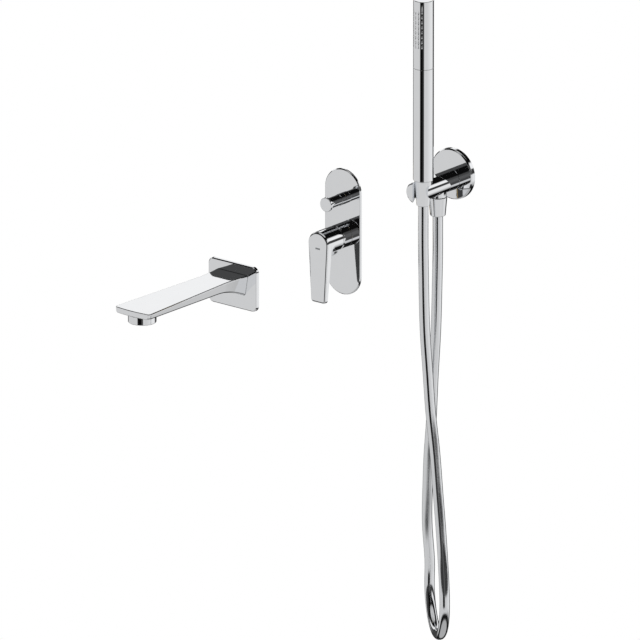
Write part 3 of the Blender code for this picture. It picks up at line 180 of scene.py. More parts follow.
# %% From a grid of points to an object
def piece(name, grid, material, body, stands_for=(), around=False, caps=True):
    """Joins rings of points, an array of (rings, points, 3) in millimetres, with four-sided faces.
    With `around` the last ring joins the first, as in a ring or a tube. Otherwise each end is capped
    with one flat face, unless `caps` is off. Points that meet are merged, so a pole closes."""
    rings, count = grid.shape[:2]
    index = np.arange(rings * count).reshape(rings, count)
    onward = np.roll(index, -1, axis=0)
    quads = np.stack([index, np.roll(index, -1, axis=1), np.roll(onward, -1, axis=1), onward], axis=-1)
    if not around:
        quads = quads[:-1]
    faces = quads.reshape(-1, 4).tolist()
    if caps and not around:
        faces += [index[0, ::-1].tolist(), index[-1].tolist()]
    mesh = bpy.data.meshes.new(name)
    mesh.from_pydata((grid.reshape(-1, 3) / 1000).tolist(), [], faces)
    obj = bpy.data.objects.new(name, mesh)
    bpy.context.scene.collection.objects.link(obj)
    close_up(mesh)
    return dress(obj, material, body, stands_for)


def close_up(mesh):
    """Merges points that meet and turns every face outwards."""
    shape = bmesh.new()
    shape.from_mesh(mesh)
    bmesh.ops.remove_doubles(shape, verts=shape.verts, dist=1e-7)
    bmesh.ops.dissolve_degenerate(shape, edges=shape.edges, dist=1e-8)
    bmesh.ops.recalc_face_normals(shape, faces=shape.faces)
    shape.to_mesh(mesh)
    shape.free()


def dress(obj, material, body, stands_for=()):
    """Gives a piece its finish and its body, and hides the frame's node that it stands for."""
    obj.data.materials.clear()
    obj.data.materials.append(material)
    obj.data.shade_smooth()
    if body:
        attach(obj, body)
    if stands_for:
        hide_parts(*([stands_for] if isinstance(stands_for, str) else stands_for))
    return obj


def weigh(obj):
    """Big faces win where they meet small ones, so flats stay flat mirrors beside a rounded edge."""
    modifier = obj.modifiers.new("weighted", "WEIGHTED_NORMAL")
    modifier.mode = "FACE_AREA"
    modifier.weight = 100
    return obj


# %% [markdown]
# Machined metal never has a truly sharp edge. Each outline is drawn with plain corners, and every
# corner is then swapped for a small arc: two points slide back along the edges by r / tan(half the
# corner's angle), and the arc turns between them about the centre.

# %% Rounding the corners of an outline
def unit(vectors):
    lengths = np.linalg.norm(vectors, axis=-1, keepdims=True)
    return vectors / np.maximum(lengths, 1e-12)


def rounded(corners, radii, steps=5):
    """Swaps each corner of a closed polygon, or of many at once, for an arc of its own radius.
    `corners` is (..., corners, 2) and `radii` is (..., corners)."""
    corners = np.asarray(corners, float)
    radii = np.broadcast_to(np.asarray(radii, float), corners.shape[:-1])[..., None]
    before = unit(np.roll(corners, 1, axis=-2) - corners)
    after = unit(np.roll(corners, -1, axis=-2) - corners)
    half = np.arccos(np.clip((before * after).sum(-1, keepdims=True), -1, 1)) / 2
    centre = corners + unit(before + after) * radii / np.sin(half)
    start = corners + before * radii / np.tan(half) - centre
    end = corners + after * radii / np.tan(half) - centre
    turn = np.maximum(np.pi - 2 * half, 1e-6)
    share = np.linspace(0, 1, steps + 1)
    first = np.sin((1 - share) * turn) / np.sin(turn)
    last = np.sin(share * turn) / np.sin(turn)
    arcs = centre[..., None, :] + first[..., None] * start[..., None, :] + last[..., None] * end[..., None, :]
    return arcs.reshape(*arcs.shape[:-3], -1, 2)


# %% [markdown]
# A turned piece is a profile spun about an axis: each point (radius, height) becomes the ring
# (r cos a, r sin a, h). `facing` says which way the axis runs in the room.

# %% Turned pieces
OUTWARD = np.array([(1, 0, 0), (0, 0, 1), (0, -1, 0)])
UPWARD = np.eye(3)
DOWNWARD = np.array([(1, 0, 0), (0, -1, 0), (0, 0, -1)])
SIDES = 144


def spin(profile, place, facing, sides=SIDES):
    """The grid of a profile of (radius, height) points spun about an axis through `place`."""
    angle = np.linspace(0, 2 * np.pi, sides, endpoint=False)
    radius, height = profile[:, :1], profile[:, 1:]
    local = np.stack([radius * np.cos(angle), radius * np.sin(angle), height + 0 * angle], axis=-1)
    return local @ facing + np.array(place, float)


def turned(name, corners, radii, place, facing, material, body, stands_for=(), steps=5):
    """A solid of revolution from a closed outline, whose corners are rounded by `radii`."""
    profile = rounded(corners, radii, steps)
    obj = piece(name, spin(profile, place, facing), material, body, stands_for, around=True)
    return weigh(obj)


# %% [markdown]
# ## The wall plates
#
# The mixer's plate is a stadium 58 mm wide and 166 mm high, the spout's is a rounded rectangle, and
# the outlet's is a thick disc. All have a polished face that reflects the levers in front of it, and
# a narrow bevel that catches the light as a thin line. A plate is the same outline drawn in step by
# step as the profile climbs its edge.

# %% The mixer's and the spout's plate
def plate(name, size, corner, thickness, bevel, centre):
    """Rings of a rounded rectangle. Each ring is drawn in by its inset, corners too."""
    width, height = size
    edge = rounded(
        [(0, 0), (0, thickness - bevel), (bevel, thickness), (bevel + 2, thickness), (bevel + 2, 0)],
        [0.2, 0.25, 0.35, 0, 0],
        4,
    )
    edge = edge[edge[:, 0] < bevel + 1.9]
    edge = np.vstack([[(0.8, 0.0)], edge])
    inset, out = edge[:, 0], edge[:, 1]
    x = width / 2 - inset
    z = height / 2 - inset
    corners = np.stack(
        [np.stack([x, -z], -1), np.stack([x, z], -1), np.stack([-x, z], -1), np.stack([-x, -z], -1)], axis=1
    )
    radius = np.maximum(corner - inset, 0.2) * 0.9995
    outline = rounded(corners, np.repeat(radius[:, None], 4, axis=1), 28)
    depth = np.broadcast_to(-out[:, None], outline.shape[:2])
    grid = np.stack([outline[..., 0] + centre[0], depth, outline[..., 1] + centre[1]], axis=-1)
    return weigh(piece("fine_" + name, grid, chrome, "root", name))


mixer_plate = plate("mixer_wall_plate", (58, 166), 29, 3, 1.2, (0, -19.5))
SPOUT_X, SPOUT_Z = -177.5, -126.2
spout_plate = plate("spout_wall_plate", (79, 59), 8, 5, 1.2, (SPOUT_X, SPOUT_Z))

# %% The outlet's disc
OUTLET_X, OUTLET_Z = 178.5, 94.0
outlet_plate = turned(
    "fine_outlet_plate",
    [(0, 0), (33, 0), (33, 5.5), (31.5, 7), (0, 7)],
    [0, 0.3, 0.5, 0.5, 0],
    (OUTLET_X, 0, OUTLET_Z),
    OUTWARD,
    chrome,
    "root",
    "outlet_wall_plate",
)
print("plates:", mixer_plate.name, spout_plate.name, outlet_plate.name)

# %% [markdown]
# ## The sleeves and the diverter's knob
#
# A thin sleeve covers the cartridge's neck. Its front edge has a wide polished chamfer, which shows
# as a bright crescent behind the lever. Above it, a small knob with a wider cap pulls out to send the
# water to the shower.

# %% Sleeves and knob
LEVER_Z, DIVERTER_Z = -24.2, 24.2
turned(
    "fine_cartridge_sleeve",
    [(14.9, 3.3), (16.0, 3.3), (16.0, 17.4), (14.8, 18.6), (11.2, 18.6), (11.2, 17.2), (14.9, 17.2)],
    [0, 0.15, 0.3, 0.3, 0.15, 0, 0],
    (0, 0, LEVER_Z),
    OUTWARD,
    chrome,
    "root",
    "cartridge_sleeve",
)
turned(
    "fine_diverter_sleeve",
    [(6.3, 3.3), (7.5, 3.3), (7.5, 11.5), (2.8, 11.5), (2.8, 10.1), (6.3, 10.1)],
    [0, 0.1, 0.4, 0.1, 0, 0],
    (0, 0, DIVERTER_Z),
    OUTWARD,
    chrome,
    "root",
    "diverter_sleeve",
)
turned(
    "fine_diverter_knob",
    [(2.8, 11.8), (7.0, 11.8), (7.0, 33.5), (9.2, 33.5), (9.2, 36.5), (0, 36.5), (0, 26.3), (2.8, 26.3)],
    [0, 0.4, 0.3, 0.3, 0.6, 0, 0, 0],
    (0, 0, DIVERTER_Z),
    OUTWARD,
    chrome,
    "diverter",
    "diverter_knob",
)

# %% [markdown]
# ## Tools that cut
#
# Some shapes are easiest to describe by what a drill or a mill takes away. A turned solid and a block
# stand for the tools, and one helper adds them to a piece or cuts them from it.

# %% Bars, bores and a Boolean
def solid(name, corners, radii, place, facing, steps=5):
    """A plain turned solid, to add to a piece or to cut from it."""
    profile = rounded(corners, radii, steps)
    return piece(name, spin(profile, place, facing), chrome, None, around=True)


def slab(name, low, high, turn=0.0, about=(0, 0, 0)):
    """A block between two corners, turned about the Z axis through a point."""
    (x0, y0, z0), (x1, y1, z1) = low, high
    ring = np.array([(x0, y0), (x1, y0), (x1, y1), (x0, y1)], float)
    spun = ring @ np.array([(np.cos(turn), np.sin(turn)), (-np.sin(turn), np.cos(turn))])
    grid = np.stack([np.column_stack([spun, np.full(4, z)]) for z in (z0, z1)])
    return piece(name, grid + np.array(about, float), chrome, None)


def carve(target, operation, others):
    """Applies a Boolean of each of the others to the target, and removes them."""
    for other in others:
        modifier = target.modifiers.new(other.name, "BOOLEAN")
        modifier.operation = operation
        modifier.solver = "EXACT"
        modifier.object = other
    graph = bpy.context.evaluated_depsgraph_get()
    made = bpy.data.meshes.new_from_object(target.evaluated_get(graph))
    target.modifiers.clear()
    target.data = made
    for other in others:
        bpy.data.objects.remove(other, do_unlink=True)
    return target


# %% [markdown]
# ## The lever
#
# The lever is one casting: a round hub that runs forward into a flat blade, which hangs 78 mm below
# the axis and narrows to its tip. Seen from the front every slice is an arch with two lower corners.
# At the hub those corners are rounded until they make a circle, and further forward the arch grows
# longer and its corners tighter. So the lever is a stack of arches, and one profile says how long the
# arch is at each distance from the wall.

# %% A stack of arches
HUB = 16.0
BLADE = 78.0
TIP = 11.6
TIP_CORNER = 3.6
TIP_BOW = 1.5


def arches(reach, inset):
    """Outlines of an arch: round at the top, straight sides that lean in, and two lower corners.
    `reach` is how far it hangs below the axis; `inset` draws the whole outline in."""
    grown = np.clip((reach - HUB) / 14, 0, 1)
    lean = (HUB - TIP) / BLADE * grown * grown * (3 - 2 * grown)
    top = HUB + lean * HUB - inset
    low = HUB - lean * reach - inset
    down = -(reach - inset)
    up = HUB - inset
    corners = np.stack(
        [
            np.stack([low, down], -1),
            np.stack([top, up], -1),
            np.stack([-top, up], -1),
            np.stack([-low, down], -1),
        ],
        axis=1,
    )
    side = np.arctan2(top - low, up - down)
    head = top * np.tan((np.pi / 2 + side) / 2 - side) * 0.9995
    share = np.clip((BLADE - reach) / (BLADE - HUB), 0, 1)
    tight = TIP_CORNER + (HUB - TIP_CORNER) * share**3
    lower = np.minimum(tight, low * np.tan((np.pi / 2 - side) / 2 + side)) * 0.9995
    lower = np.maximum(lower - inset, 0.3)
    outline = rounded(corners, np.stack([lower, head, head, lower], -1), 30)
    across = outline[..., 0] / np.maximum(low, 1)[:, None]
    below = np.clip(-outline[..., 1] / np.maximum(reach, 1)[:, None], 0, 1) ** 10
    bow = TIP_BOW * np.clip((reach - HUB) / (BLADE - HUB), 0, 1)
    outline[..., 1] += bow[:, None] * across**2 * below
    return outline


# %% The lever from back to front
FACE = 52.5
LEVER_BACK = 20.0
NECK_OUT, TIP_OUT = 43.3, 46.7
EDGE = 2.8
silhouette = [(HUB, LEVER_BACK), (HUB, NECK_OUT), (BLADE, TIP_OUT), (BLADE, FACE), (0, FACE), (0, LEVER_BACK)]
climb = rounded(silhouette, [0, 7, 0, 0, 0, 0], 24)
climb = climb[(climb[:, 0] >= HUB - 1e-6) & (climb[:, 1] < FACE - 1e-6)]
back_slope = np.stack([np.linspace(26, BLADE - 0.5, 26), np.linspace(43.85, 46.67, 26)], axis=-1)
start = climb[(climb[:, 0] < 24) & (climb[:, 1] > LEVER_BACK + 1)]
turn = np.linspace(0, np.pi / 2, 9)
profile = np.vstack(
    [
        [(HUB, LEVER_BACK, 0.4), (HUB, LEVER_BACK + 0.1, 0.1), (HUB, LEVER_BACK + 0.4, 0)],
        np.column_stack([start, np.zeros(len(start))]),
        np.column_stack([back_slope, np.zeros(len(back_slope))]),
        [(BLADE - 0.15, 46.75, 0), (BLADE, 46.95, 0)],
        np.column_stack([np.full(9, BLADE), FACE - EDGE + EDGE * np.sin(turn), EDGE * (1 - np.cos(turn))]),
    ]
)
outline = arches(profile[:, 0], profile[:, 2])
depth = np.broadcast_to(-profile[:, 1:2], outline.shape[:2])
lever_grid = np.stack([outline[..., 0], depth, outline[..., 1] + LEVER_Z], axis=-1)
lever = piece("fine_lever", lever_grid, chrome, None)
print("lever:", len(lever.data.vertices), "points")

# %% [markdown]
# The lever is hollow behind, so that its hub can tip back over the sleeve. A square socket takes the
# cartridge's stem, a hole below takes the set screw, and a shallow recess in front takes the mark.

# %% Hollows of the lever
hub_axis = (0, 0, LEVER_Z)
hollow = solid("hollow", [(0, 15), (14.7, 15), (14.7, 28), (0, 28)], [0, 0, 0.6, 0], hub_axis, OUTWARD)
socket = slab("socket", (-3.3, -42.3, LEVER_Z - 3.3), (3.3, -27, LEVER_Z + 3.3))
screw_axis = (0, -34, LEVER_Z)
screw_hole = solid("screw_hole", [(0, 2.9), (2.5, 2.9), (2.5, 20), (0, 20)], 0, screw_axis, DOWNWARD)
recess = slab("recess", (-3.7, -54, LEVER_Z - 6.55), (3.7, -51.6, LEVER_Z - 4.45))
carve(lever, "DIFFERENCE", [hollow, socket, screw_hole, recess])
close_up(lever.data)
dress(lever, chrome, "lever", "lever_handle")
weigh(lever)
print("hollow lever:", len(lever.data.vertices), "points")

# %% [markdown]
# ## The bath spout
#
# The spout is a flat slab with a wide top. It leaves the wall plate broad and deep, draws in to a
# waist within 60 mm, then widens and thins towards its tip. Its sides lean in below by 10 degrees. The
# section is a four-cornered shape at each distance from the wall, so whole sections are worked out at
# once and the front face is closed with rings that shrink to its middle.

# %% Sections of the spout
SPOUT_ROOT = 5.3
SPOUT_END = 206.5
LENGTH = SPOUT_END - SPOUT_ROOT
SPOUT_TOP = SPOUT_Z + 59 / 2 - 12.7
WAIST, ROOT_FLARE, TIP_FLARE = 21.75, 3.75, 7.25
DEPTH, HEEL, THINNING = 12.6, 14.4, 5.0
LEAN = np.radians(10)
PLAN_CORNER = 5.0
NOSE = 0.8
FRONT_BOW = 2.5


def filled_edges(outline, count):
    """Adds points along the straight edges between four rounded corners, so that a long edge can
    follow a curve."""
    corners = outline.reshape(len(outline), 4, -1, 2)
    here, there = corners[:, :, -1:], np.roll(corners, -1, axis=1)[:, :, :1]
    share = np.linspace(0, 1, count + 2)[1:-1][None, None, :, None]
    return np.concatenate([corners, here + (there - here) * share], axis=2).reshape(len(outline), -1, 2)


def spout_sections(along, inset):
    """Sections of the spout: half its width is a waist plus a square law towards the wall and a
    straight flare towards the tip; its height is a square law that ends in an even taper."""
    near = np.clip(1 - along / 38, 0, 1) ** 2
    far = np.clip((along - 38) / (LENGTH - 38), 0, 1)
    half = WAIST + ROOT_FLARE * near + TIP_FLARE * far
    corner = np.clip(along - (LENGTH - PLAN_CORNER), 0, PLAN_CORNER)
    half = half - (PLAN_CORNER - np.sqrt(np.maximum(PLAN_CORNER**2 - corner**2, 0)))
    heel = np.clip(1 - along / 60, 0, 1) ** 2
    taper = np.clip((along - 60) / (LENGTH - 60), 0, 1)
    height = DEPTH + HEEL * heel - THINNING * taper
    low = half - height * np.tan(LEAN)
    top, bottom = -inset, -height + inset
    corners = np.stack(
        [
            np.stack([half - inset, top], -1),
            np.stack([inset - half, top], -1),
            np.stack([inset - low, bottom], -1),
            np.stack([low - inset, bottom], -1),
        ],
        axis=1,
    )
    radii = np.stack([1.3 + 0 * along, 1.3 + 0 * along, 2.5 + 0 * along, 2.5 + 0 * along], -1)
    radii = np.maximum(radii - inset[:, None], 0.25)
    return filled_edges(rounded(corners, radii, 7), 14)


def bowed(section, along):
    """Puts sections in the room. The front bows forward: a point is set back by the bow times the
    square of its share of the half width, which fades away behind the tip."""
    back = FRONT_BOW * (section[..., 0] / 29) ** 2 * ((along / LENGTH) ** 3)[:, None]
    out = SPOUT_ROOT + along[:, None] - back
    return np.stack([section[..., 0] + SPOUT_X, -out, section[..., 1] + SPOUT_TOP], axis=-1)



# %% The spout from wall to tip
turn = np.linspace(0, np.pi / 2, 12)
corner_along = LENGTH - PLAN_CORNER + (PLAN_CORNER - NOSE) * np.sin(turn)
along = np.concatenate([np.linspace(0, 60, 40), np.linspace(64, LENGTH - 5.8, 30), corner_along])
inset = np.zeros(len(along))
nose = np.linspace(0.1, np.pi / 2, 7)
nose_along = LENGTH - NOSE + NOSE * np.sin(nose)
along = np.concatenate([along, np.minimum(nose_along, LENGTH)])
inset = np.concatenate([inset, NOSE * (1 - np.cos(nose))])
limit = np.minimum(along, LENGTH - NOSE)
sections = spout_sections(limit, inset)
body = bowed(sections, along)
shrink = np.linspace(1, 0, 10)[1:, None, None]
last_section = spout_sections(np.array([LENGTH - NOSE]), np.array([0.0]))[0]
middle = np.array([0, -last_section[:, 1].max() - 3.8])
front = bowed(middle + (sections[-1] - middle) * shrink, np.full(9, LENGTH))
spout = piece("fine_spout", np.vstack([body, front]), chrome, "root", "spout_body")
weigh(spout)

# %% [markdown]
# Below the tip sits the aerator: a chrome collar screwed into the spout, with a plastic insert that
# mixes air into the stream.

# %% Aerator collar
SETBACK, COLLAR = 22.5, 18.0
AERATOR = (SPOUT_X, -(SPOUT_END - SETBACK), SPOUT_TOP)
seat = DEPTH - THINNING * (LENGTH - SETBACK - COLLAR - 60) / (LENGTH - 60)
turned(
    "spout_seat",
    [(0, 3.2), (17.46, 3.2), (17.46, seat), (0, seat)],
    [0, 0, 0.3, 0],
    AERATOR,
    DOWNWARD,
    chrome,
    "root",
)
top, bottom = seat + 0.3, seat + 10.8
turned(
    "fine_aerator",
    [(10.5, top - 3.8), (12.7, top - 3.8), (12.7, top), (COLLAR, top), (COLLAR, bottom), (9.5, bottom),
     (9.5, bottom - 1), (10.5, bottom - 1)],
    [0, 0.3, 0, 0.4, 1.0, 0.2, 0, 0],
    AERATOR,
    DOWNWARD,
    chrome,
    "root",
    "aerator_housing",
)
print("spout:", len(spout.data.vertices), "points, seat", round(float(seat), 2))

# %% [markdown]
# ## The outlet elbow and its cradle
#
# A round bar stands out from the disc. Its top is milled flat by the disc, a boss below takes the
# hose, and near its end a tapered cradle, open at the front, holds the hand shower's cone. Bored
# metal is easiest to describe by what the tools take away, so this piece is made with Booleans.

# %% The arm and its cradle
ARM_Z = OUTLET_Z - 7
arm = solid(
    "fine_holder_arm",
    [(0, 7.3), (13.5, 7.3), (13.5, 79.5), (12.42, 80.5), (0, 81)],
    [0, 0.3, 0.8, 3, 0],
    (OUTLET_X, 0, ARM_Z),
    OUTWARD,
)
HOSE_Y, CRADLE_Y = -33.5, -62.5
under_arm, in_cradle = (OUTLET_X, HOSE_Y, ARM_Z), (OUTLET_X, CRADLE_Y, ARM_Z)
boss = solid("boss", [(0, 0), (11.2, 0), (11.2, 15.2), (0, 15.2)], [0, 0, 0.4, 0], under_arm, DOWNWARD)
carve(arm, "UNION", [boss])
flat = slab("flat", (OUTLET_X - 14, -49.2, ARM_Z + 12.9), (OUTLET_X + 14, -5, ARM_Z + 16))
cone_cut = solid("cone_cut", [(0, -15.5), (7.44, -15.5), (11.88, 15.5), (0, 15.5)], 0, in_cradle, UPWARD)
mouth = slab("mouth", (-9.5, -40, -15.5), (9.5, 0, 15.5), np.radians(22), in_cradle)
bore = solid("bore", [(0, 5.2), (9.7, 5.2), (9.7, 17.2), (0, 17.2)], 0, under_arm, DOWNWARD)
back_bore = solid("back_bore", [(0, 5), (10.7, 5), (10.7, 23.3), (0, 23.3)], 0, (OUTLET_X, 0, ARM_Z), OUTWARD)
carve(arm, "DIFFERENCE", [flat, cone_cut, mouth, bore, back_bore])
close_up(arm.data)
rim = arm.modifiers.new("rim", "BEVEL")
rim.width = 0.00035
rim.segments = 3
rim.limit_method = "ANGLE"
rim.angle_limit = np.radians(35)
dress(arm, chrome, "root", "holder_arm")
weigh(arm)
print("arm:", len(arm.data.polygons), "faces")

# %% [markdown]
# ## Hose nuts
#
# Two nuts screw the hose on: a short one under the elbow, and a long cone under the hand shower that
# sits in the cradle. Both taper gently and have a fine rounded lip where the hose comes out.

# %% Nuts and ferrule lips
nut_top = 15.5
turned(
    "fine_outlet_nut",
    [(9.7, nut_top), (12.0, nut_top), (9.8, nut_top + 24.5), (6.9, nut_top + 24.5), (6.9, 31), (9.7, 31)],
    [0.1, 0.6, 0.8, 0.3, 0, 0],
    (OUTLET_X, HOSE_Y, ARM_Z),
    DOWNWARD,
    chrome,
    "root",
    "outlet_hose_nut",
)
BASE_Z = ARM_Z + 13.8
turned(
    "fine_cone_nut",
    [(9.7, 0.3), (11.4, 0.3), (8.6, 33.3), (6.9, 33.3), (6.9, 15.1), (9.7, 15.1)],
    [0.1, 0.5, 0.6, 0.3, 0, 0],
    (OUTLET_X, CRADLE_Y, BASE_Z),
    DOWNWARD,
    chrome,
    "handset",
    "handset_hose_nut",
)

# %% [markdown]
# ## The hand shower
#
# A plain stick, 26 mm thick. A hairline seam shows where the spray head screws on. Thirty-two small
# rubber nozzles stand in holes in its front, eight rows of four.

# %% The stick and its head
STICK = (OUTLET_X, CRADLE_Y, BASE_Z)
HEAD = 236.5 - 89
turned(
    "fine_stick",
    [(6.2, -10), (9.4, -10), (9.4, 0), (13, 0), (13, HEAD - 0.3), (10, HEAD - 0.3), (10, HEAD + 9.7),
     (8, HEAD + 9.7), (8, 10), (6.2, 10)],
    [0, 0.3, 0, 0.6, 0.12, 0, 0.3, 0, 0, 0],
    STICK,
    UPWARD,
    chrome,
    "handset",
    "handset_tube",
)
spray_head = solid(
    "fine_spray_head",
    [(10.3, HEAD), (13, HEAD), (13, 236.5), (0, 236.5), (0, 233.5), (10.3, 233.5)],
    [0, 0.12, 0.7, 0, 0, 0],
    STICK,
    UPWARD,
)

# %% Nozzles in rows
rows = 236.5 - 15 - 6.5 * np.arange(8)
angles = np.radians([-30, -10, 10, 30])
row, angle = [part.ravel() for part in np.meshgrid(rows, angles, indexing="ij")]


def pegs(name, profile, sides, material):
    """The same small turned shape at each nozzle's place, its axis pointing straight out of the
    stick at that nozzle's angle."""
    around_peg = np.linspace(0, 2 * np.pi, sides, endpoint=False)
    radius, height = profile[:, :1], profile[:, 1:]
    local = np.stack([radius * np.cos(around_peg), radius * np.sin(around_peg), height + 0 * around_peg], -1)
    side, up, out = local[..., 0], local[..., 1], local[..., 2]
    x = out * np.sin(angle)[:, None, None] + side * np.cos(angle)[:, None, None] + STICK[0]
    y = -out * np.cos(angle)[:, None, None] + side * np.sin(angle)[:, None, None] + STICK[1]
    z = up + row[:, None, None] + STICK[2]
    points = np.stack([x, y, z], axis=-1)
    rings = len(profile)
    index = np.arange(rings * sides).reshape(rings, sides)
    below = np.roll(index, -1, 0)
    quads = np.stack([index, np.roll(index, -1, 1), np.roll(below, -1, 1), below], -1)
    quads = quads.reshape(-1, 4)[None] + (np.arange(len(row)) * rings * sides)[:, None, None]
    mesh = bpy.data.meshes.new(name)
    mesh.from_pydata((points.reshape(-1, 3) / 1000).tolist(), [], quads.reshape(-1, 4).tolist())
    obj = bpy.data.objects.new(name, mesh)
    bpy.context.scene.collection.objects.link(obj)
    close_up(mesh)
    obj.data.materials.append(material)
    return obj


holes = pegs("nozzle_holes", np.array([(0, 8.3), (1.1, 8.3), (1.1, 15), (0, 15)], float), 20, chrome)
carve(spray_head, "DIFFERENCE", [holes])
close_up(spray_head.data)
dress(spray_head, chrome, "handset", "handset_head")
weigh(spray_head)
tip_profile = rounded([(0, 9.6), (0.9, 9.6), (0.75, 13.3), (0.3, 13.3), (0.3, 12.2), (0, 12.2)],
                      [0, 0, 0.3, 0.08, 0, 0], 3)
nozzles = pegs("fine_nozzles", tip_profile, 14, nozzle_rubber)
dress(nozzles, nozzle_rubber, "handset")
arc = np.radians(np.linspace(-44, 44, 40))
bed_ring = np.concatenate([np.stack([10.0 * np.sin(arc), -10.0 * np.cos(arc)], -1),
                           np.stack([9.1 * np.sin(arc[::-1]), -9.1 * np.cos(arc[::-1])], -1)])
bed_grid = np.stack([np.column_stack([bed_ring, np.full(80, z)]) for z in (236.5 - 67, 236.5 - 8.5)])
piece("nozzle_bed", bed_grid + np.array(STICK), nozzle_rubber, "handset", "handset_nozzles")
print("nozzles:", len(row))

# %% [markdown]
# ## The hose
#
# The shower hose is about 1.19 m of smooth silver tube, 13 mm thick. It leaves the cone nut straight
# down, hangs in one narrow loop that is twisted half round, and comes up into the nut under the
# elbow. Its line is a natural cubic spline through points along the route. Each ring of the tube
# stands square to that line. The loop hangs in one plane, so a fixed vector across that plane
# gives every ring the same sense of "sideways" and the tube doesn't twist.

# %% The hose's line
ROUTE = np.array(
    [
        (0.000, -0.0625, -0.023),
        (0.000, -0.0625, -0.044),
        (0.000, -0.0625, -0.074),
        (0.001, -0.063, -0.109),
        (0.002, -0.063, -0.154),
        (0.004, -0.063, -0.199),
        (0.008, -0.063, -0.244),
        (0.013, -0.063, -0.299),
        (0.020, -0.064, -0.344),
        (0.028, -0.067, -0.399),
        (0.035, -0.070, -0.444),
        (0.042, -0.074, -0.489),
        (0.0489, -0.0795, -0.5508),
        (0.0418, -0.0733, -0.5730),
        (0.0274, -0.0609, -0.5892),
        (0.0090, -0.0450, -0.5950),
        (-0.0094, -0.0291, -0.5892),
        (-0.0238, -0.0167, -0.5730),
        (-0.0309, -0.0105, -0.5508),
        (-0.031, -0.010, -0.519),
        (-0.031, -0.013, -0.489),
        (-0.029, -0.018, -0.454),
        (-0.025, -0.022, -0.419),
        (-0.019, -0.027, -0.369),
        (-0.012, -0.031, -0.322),
        (-0.007, -0.033, -0.259),
        (-0.003, -0.0335, -0.204),
        (-0.001, -0.0335, -0.144),
        (0.000, -0.0335, -0.094),
        (0.000, -0.0335, -0.064),
        (0.000, -0.0335, -0.0435),
    ]
)


def spline(knots, count):
    """Points on the natural cubic spline through the knots. Its second slopes solve one linear
    system: each row says that the first slope doesn't jump at a knot."""
    step = np.linalg.norm(np.diff(knots, axis=0), axis=1)
    place = np.concatenate([[0], np.cumsum(step)])
    matrix = np.eye(len(knots))
    inner = np.arange(1, len(knots) - 1)
    matrix[inner, inner - 1] = step[:-1]
    matrix[inner, inner] = 2 * (step[:-1] + step[1:])
    matrix[inner, inner + 1] = step[1:]
    slope = np.diff(knots, axis=0) / step[:, None]
    right = np.zeros_like(knots)
    right[1:-1] = 6 * np.diff(slope, axis=0)
    bend = np.linalg.solve(matrix, right)
    where = np.linspace(0, place[-1], count)
    index = np.clip(np.searchsorted(place, where, side="right") - 1, 0, len(step) - 1)
    gap = step[index][:, None]
    low = (place[index + 1] - where)[:, None] / gap
    high = 1 - low
    curve = (low**3 - low) * bend[index] + (high**3 - high) * bend[index + 1]
    return low * knots[index] + high * knots[index + 1] + curve * gap**2 / 6


line = spline(ROUTE + np.array([OUTLET_X, 0, OUTLET_Z]) / 1000, 720)
hose_length = float(np.linalg.norm(np.diff(line, axis=0), axis=1).sum())
print("hose length:", round(hose_length, 4), "m")

# %% The hose's tube
HOSE_RADIUS = 6.5
across_loop = unit(np.array([0.065, 0.077, 0.0]))
along_line = unit(np.gradient(line, axis=0))
side = unit(np.cross(along_line, across_loop))
over = np.cross(side, along_line)
around_hose = np.linspace(0, 2 * np.pi, 48, endpoint=False)
cosine, sine = np.cos(around_hose)[None, :, None], np.sin(around_hose)[None, :, None]
ring = cosine * side[:, None, :] + sine * over[:, None, :]
hose_grid = line[:, None, :] * 1000 + HOSE_RADIUS * ring

# %% [markdown]
# The hose is a smooth plastic tube over a silver spiral. The tube keeps a faint trace of the winding,
# a ripple that climbs round it. It follows the hose because it is worked out on the hose's own UV map:
# one axis is the distance along it, the other goes once round.

# %% The hose's finish
def hose_finish():
    material = bpy.data.materials.new("hose_silver")
    material.use_nodes = True
    graph = material.node_tree
    shader = graph.nodes["Principled BSDF"]
    shader.inputs["Metallic"].default_value = 1.0
    shader.inputs["Coat Roughness"].default_value = 0.03
    spread = Wire(graph, graph.nodes.new("ShaderNodeUVMap").outputs["UV"])
    place = Wire(graph, graph.nodes.new("ShaderNodeTexCoord").outputs["Object"])
    split = graph.nodes.new("ShaderNodeSeparateXYZ")
    graph.links.new(spread.socket, split.inputs[0])
    u, v = Wire(graph, split.outputs["X"]), Wire(graph, split.outputs["Y"])
    winding = ((v * 700.0 + u) * (2 * np.pi)).math("SINE", (v * 700.0 + u) * (2 * np.pi))
    cloud = place.node("ShaderNodeTexNoise", {}, {"Vector": place, "Scale": 60.0, "Detail": 3.0})
    rough = 0.10 + (cloud - 0.5) * 0.06 + winding * 0.012
    graph.links.new(rough.socket, shader.inputs["Roughness"])
    stops = [(0.0, (0.80, 0.81, 0.83)), (1.0, (0.89, 0.90, 0.915))]
    tone = winding * 0.35 + 0.5 + (cloud - 0.5) * 0.5
    shade = place.node("ShaderNodeValToRGB", {"stops": stops}, {"Fac": tone})
    graph.links.new(shade.socket, shader.inputs["Base Color"])
    normal = place.node("ShaderNodeBump", {}, {"Height": winding, "Distance": 0.000004, "Strength": 1.0})
    graph.links.new(normal.socket, shader.inputs["Normal"])
    return material


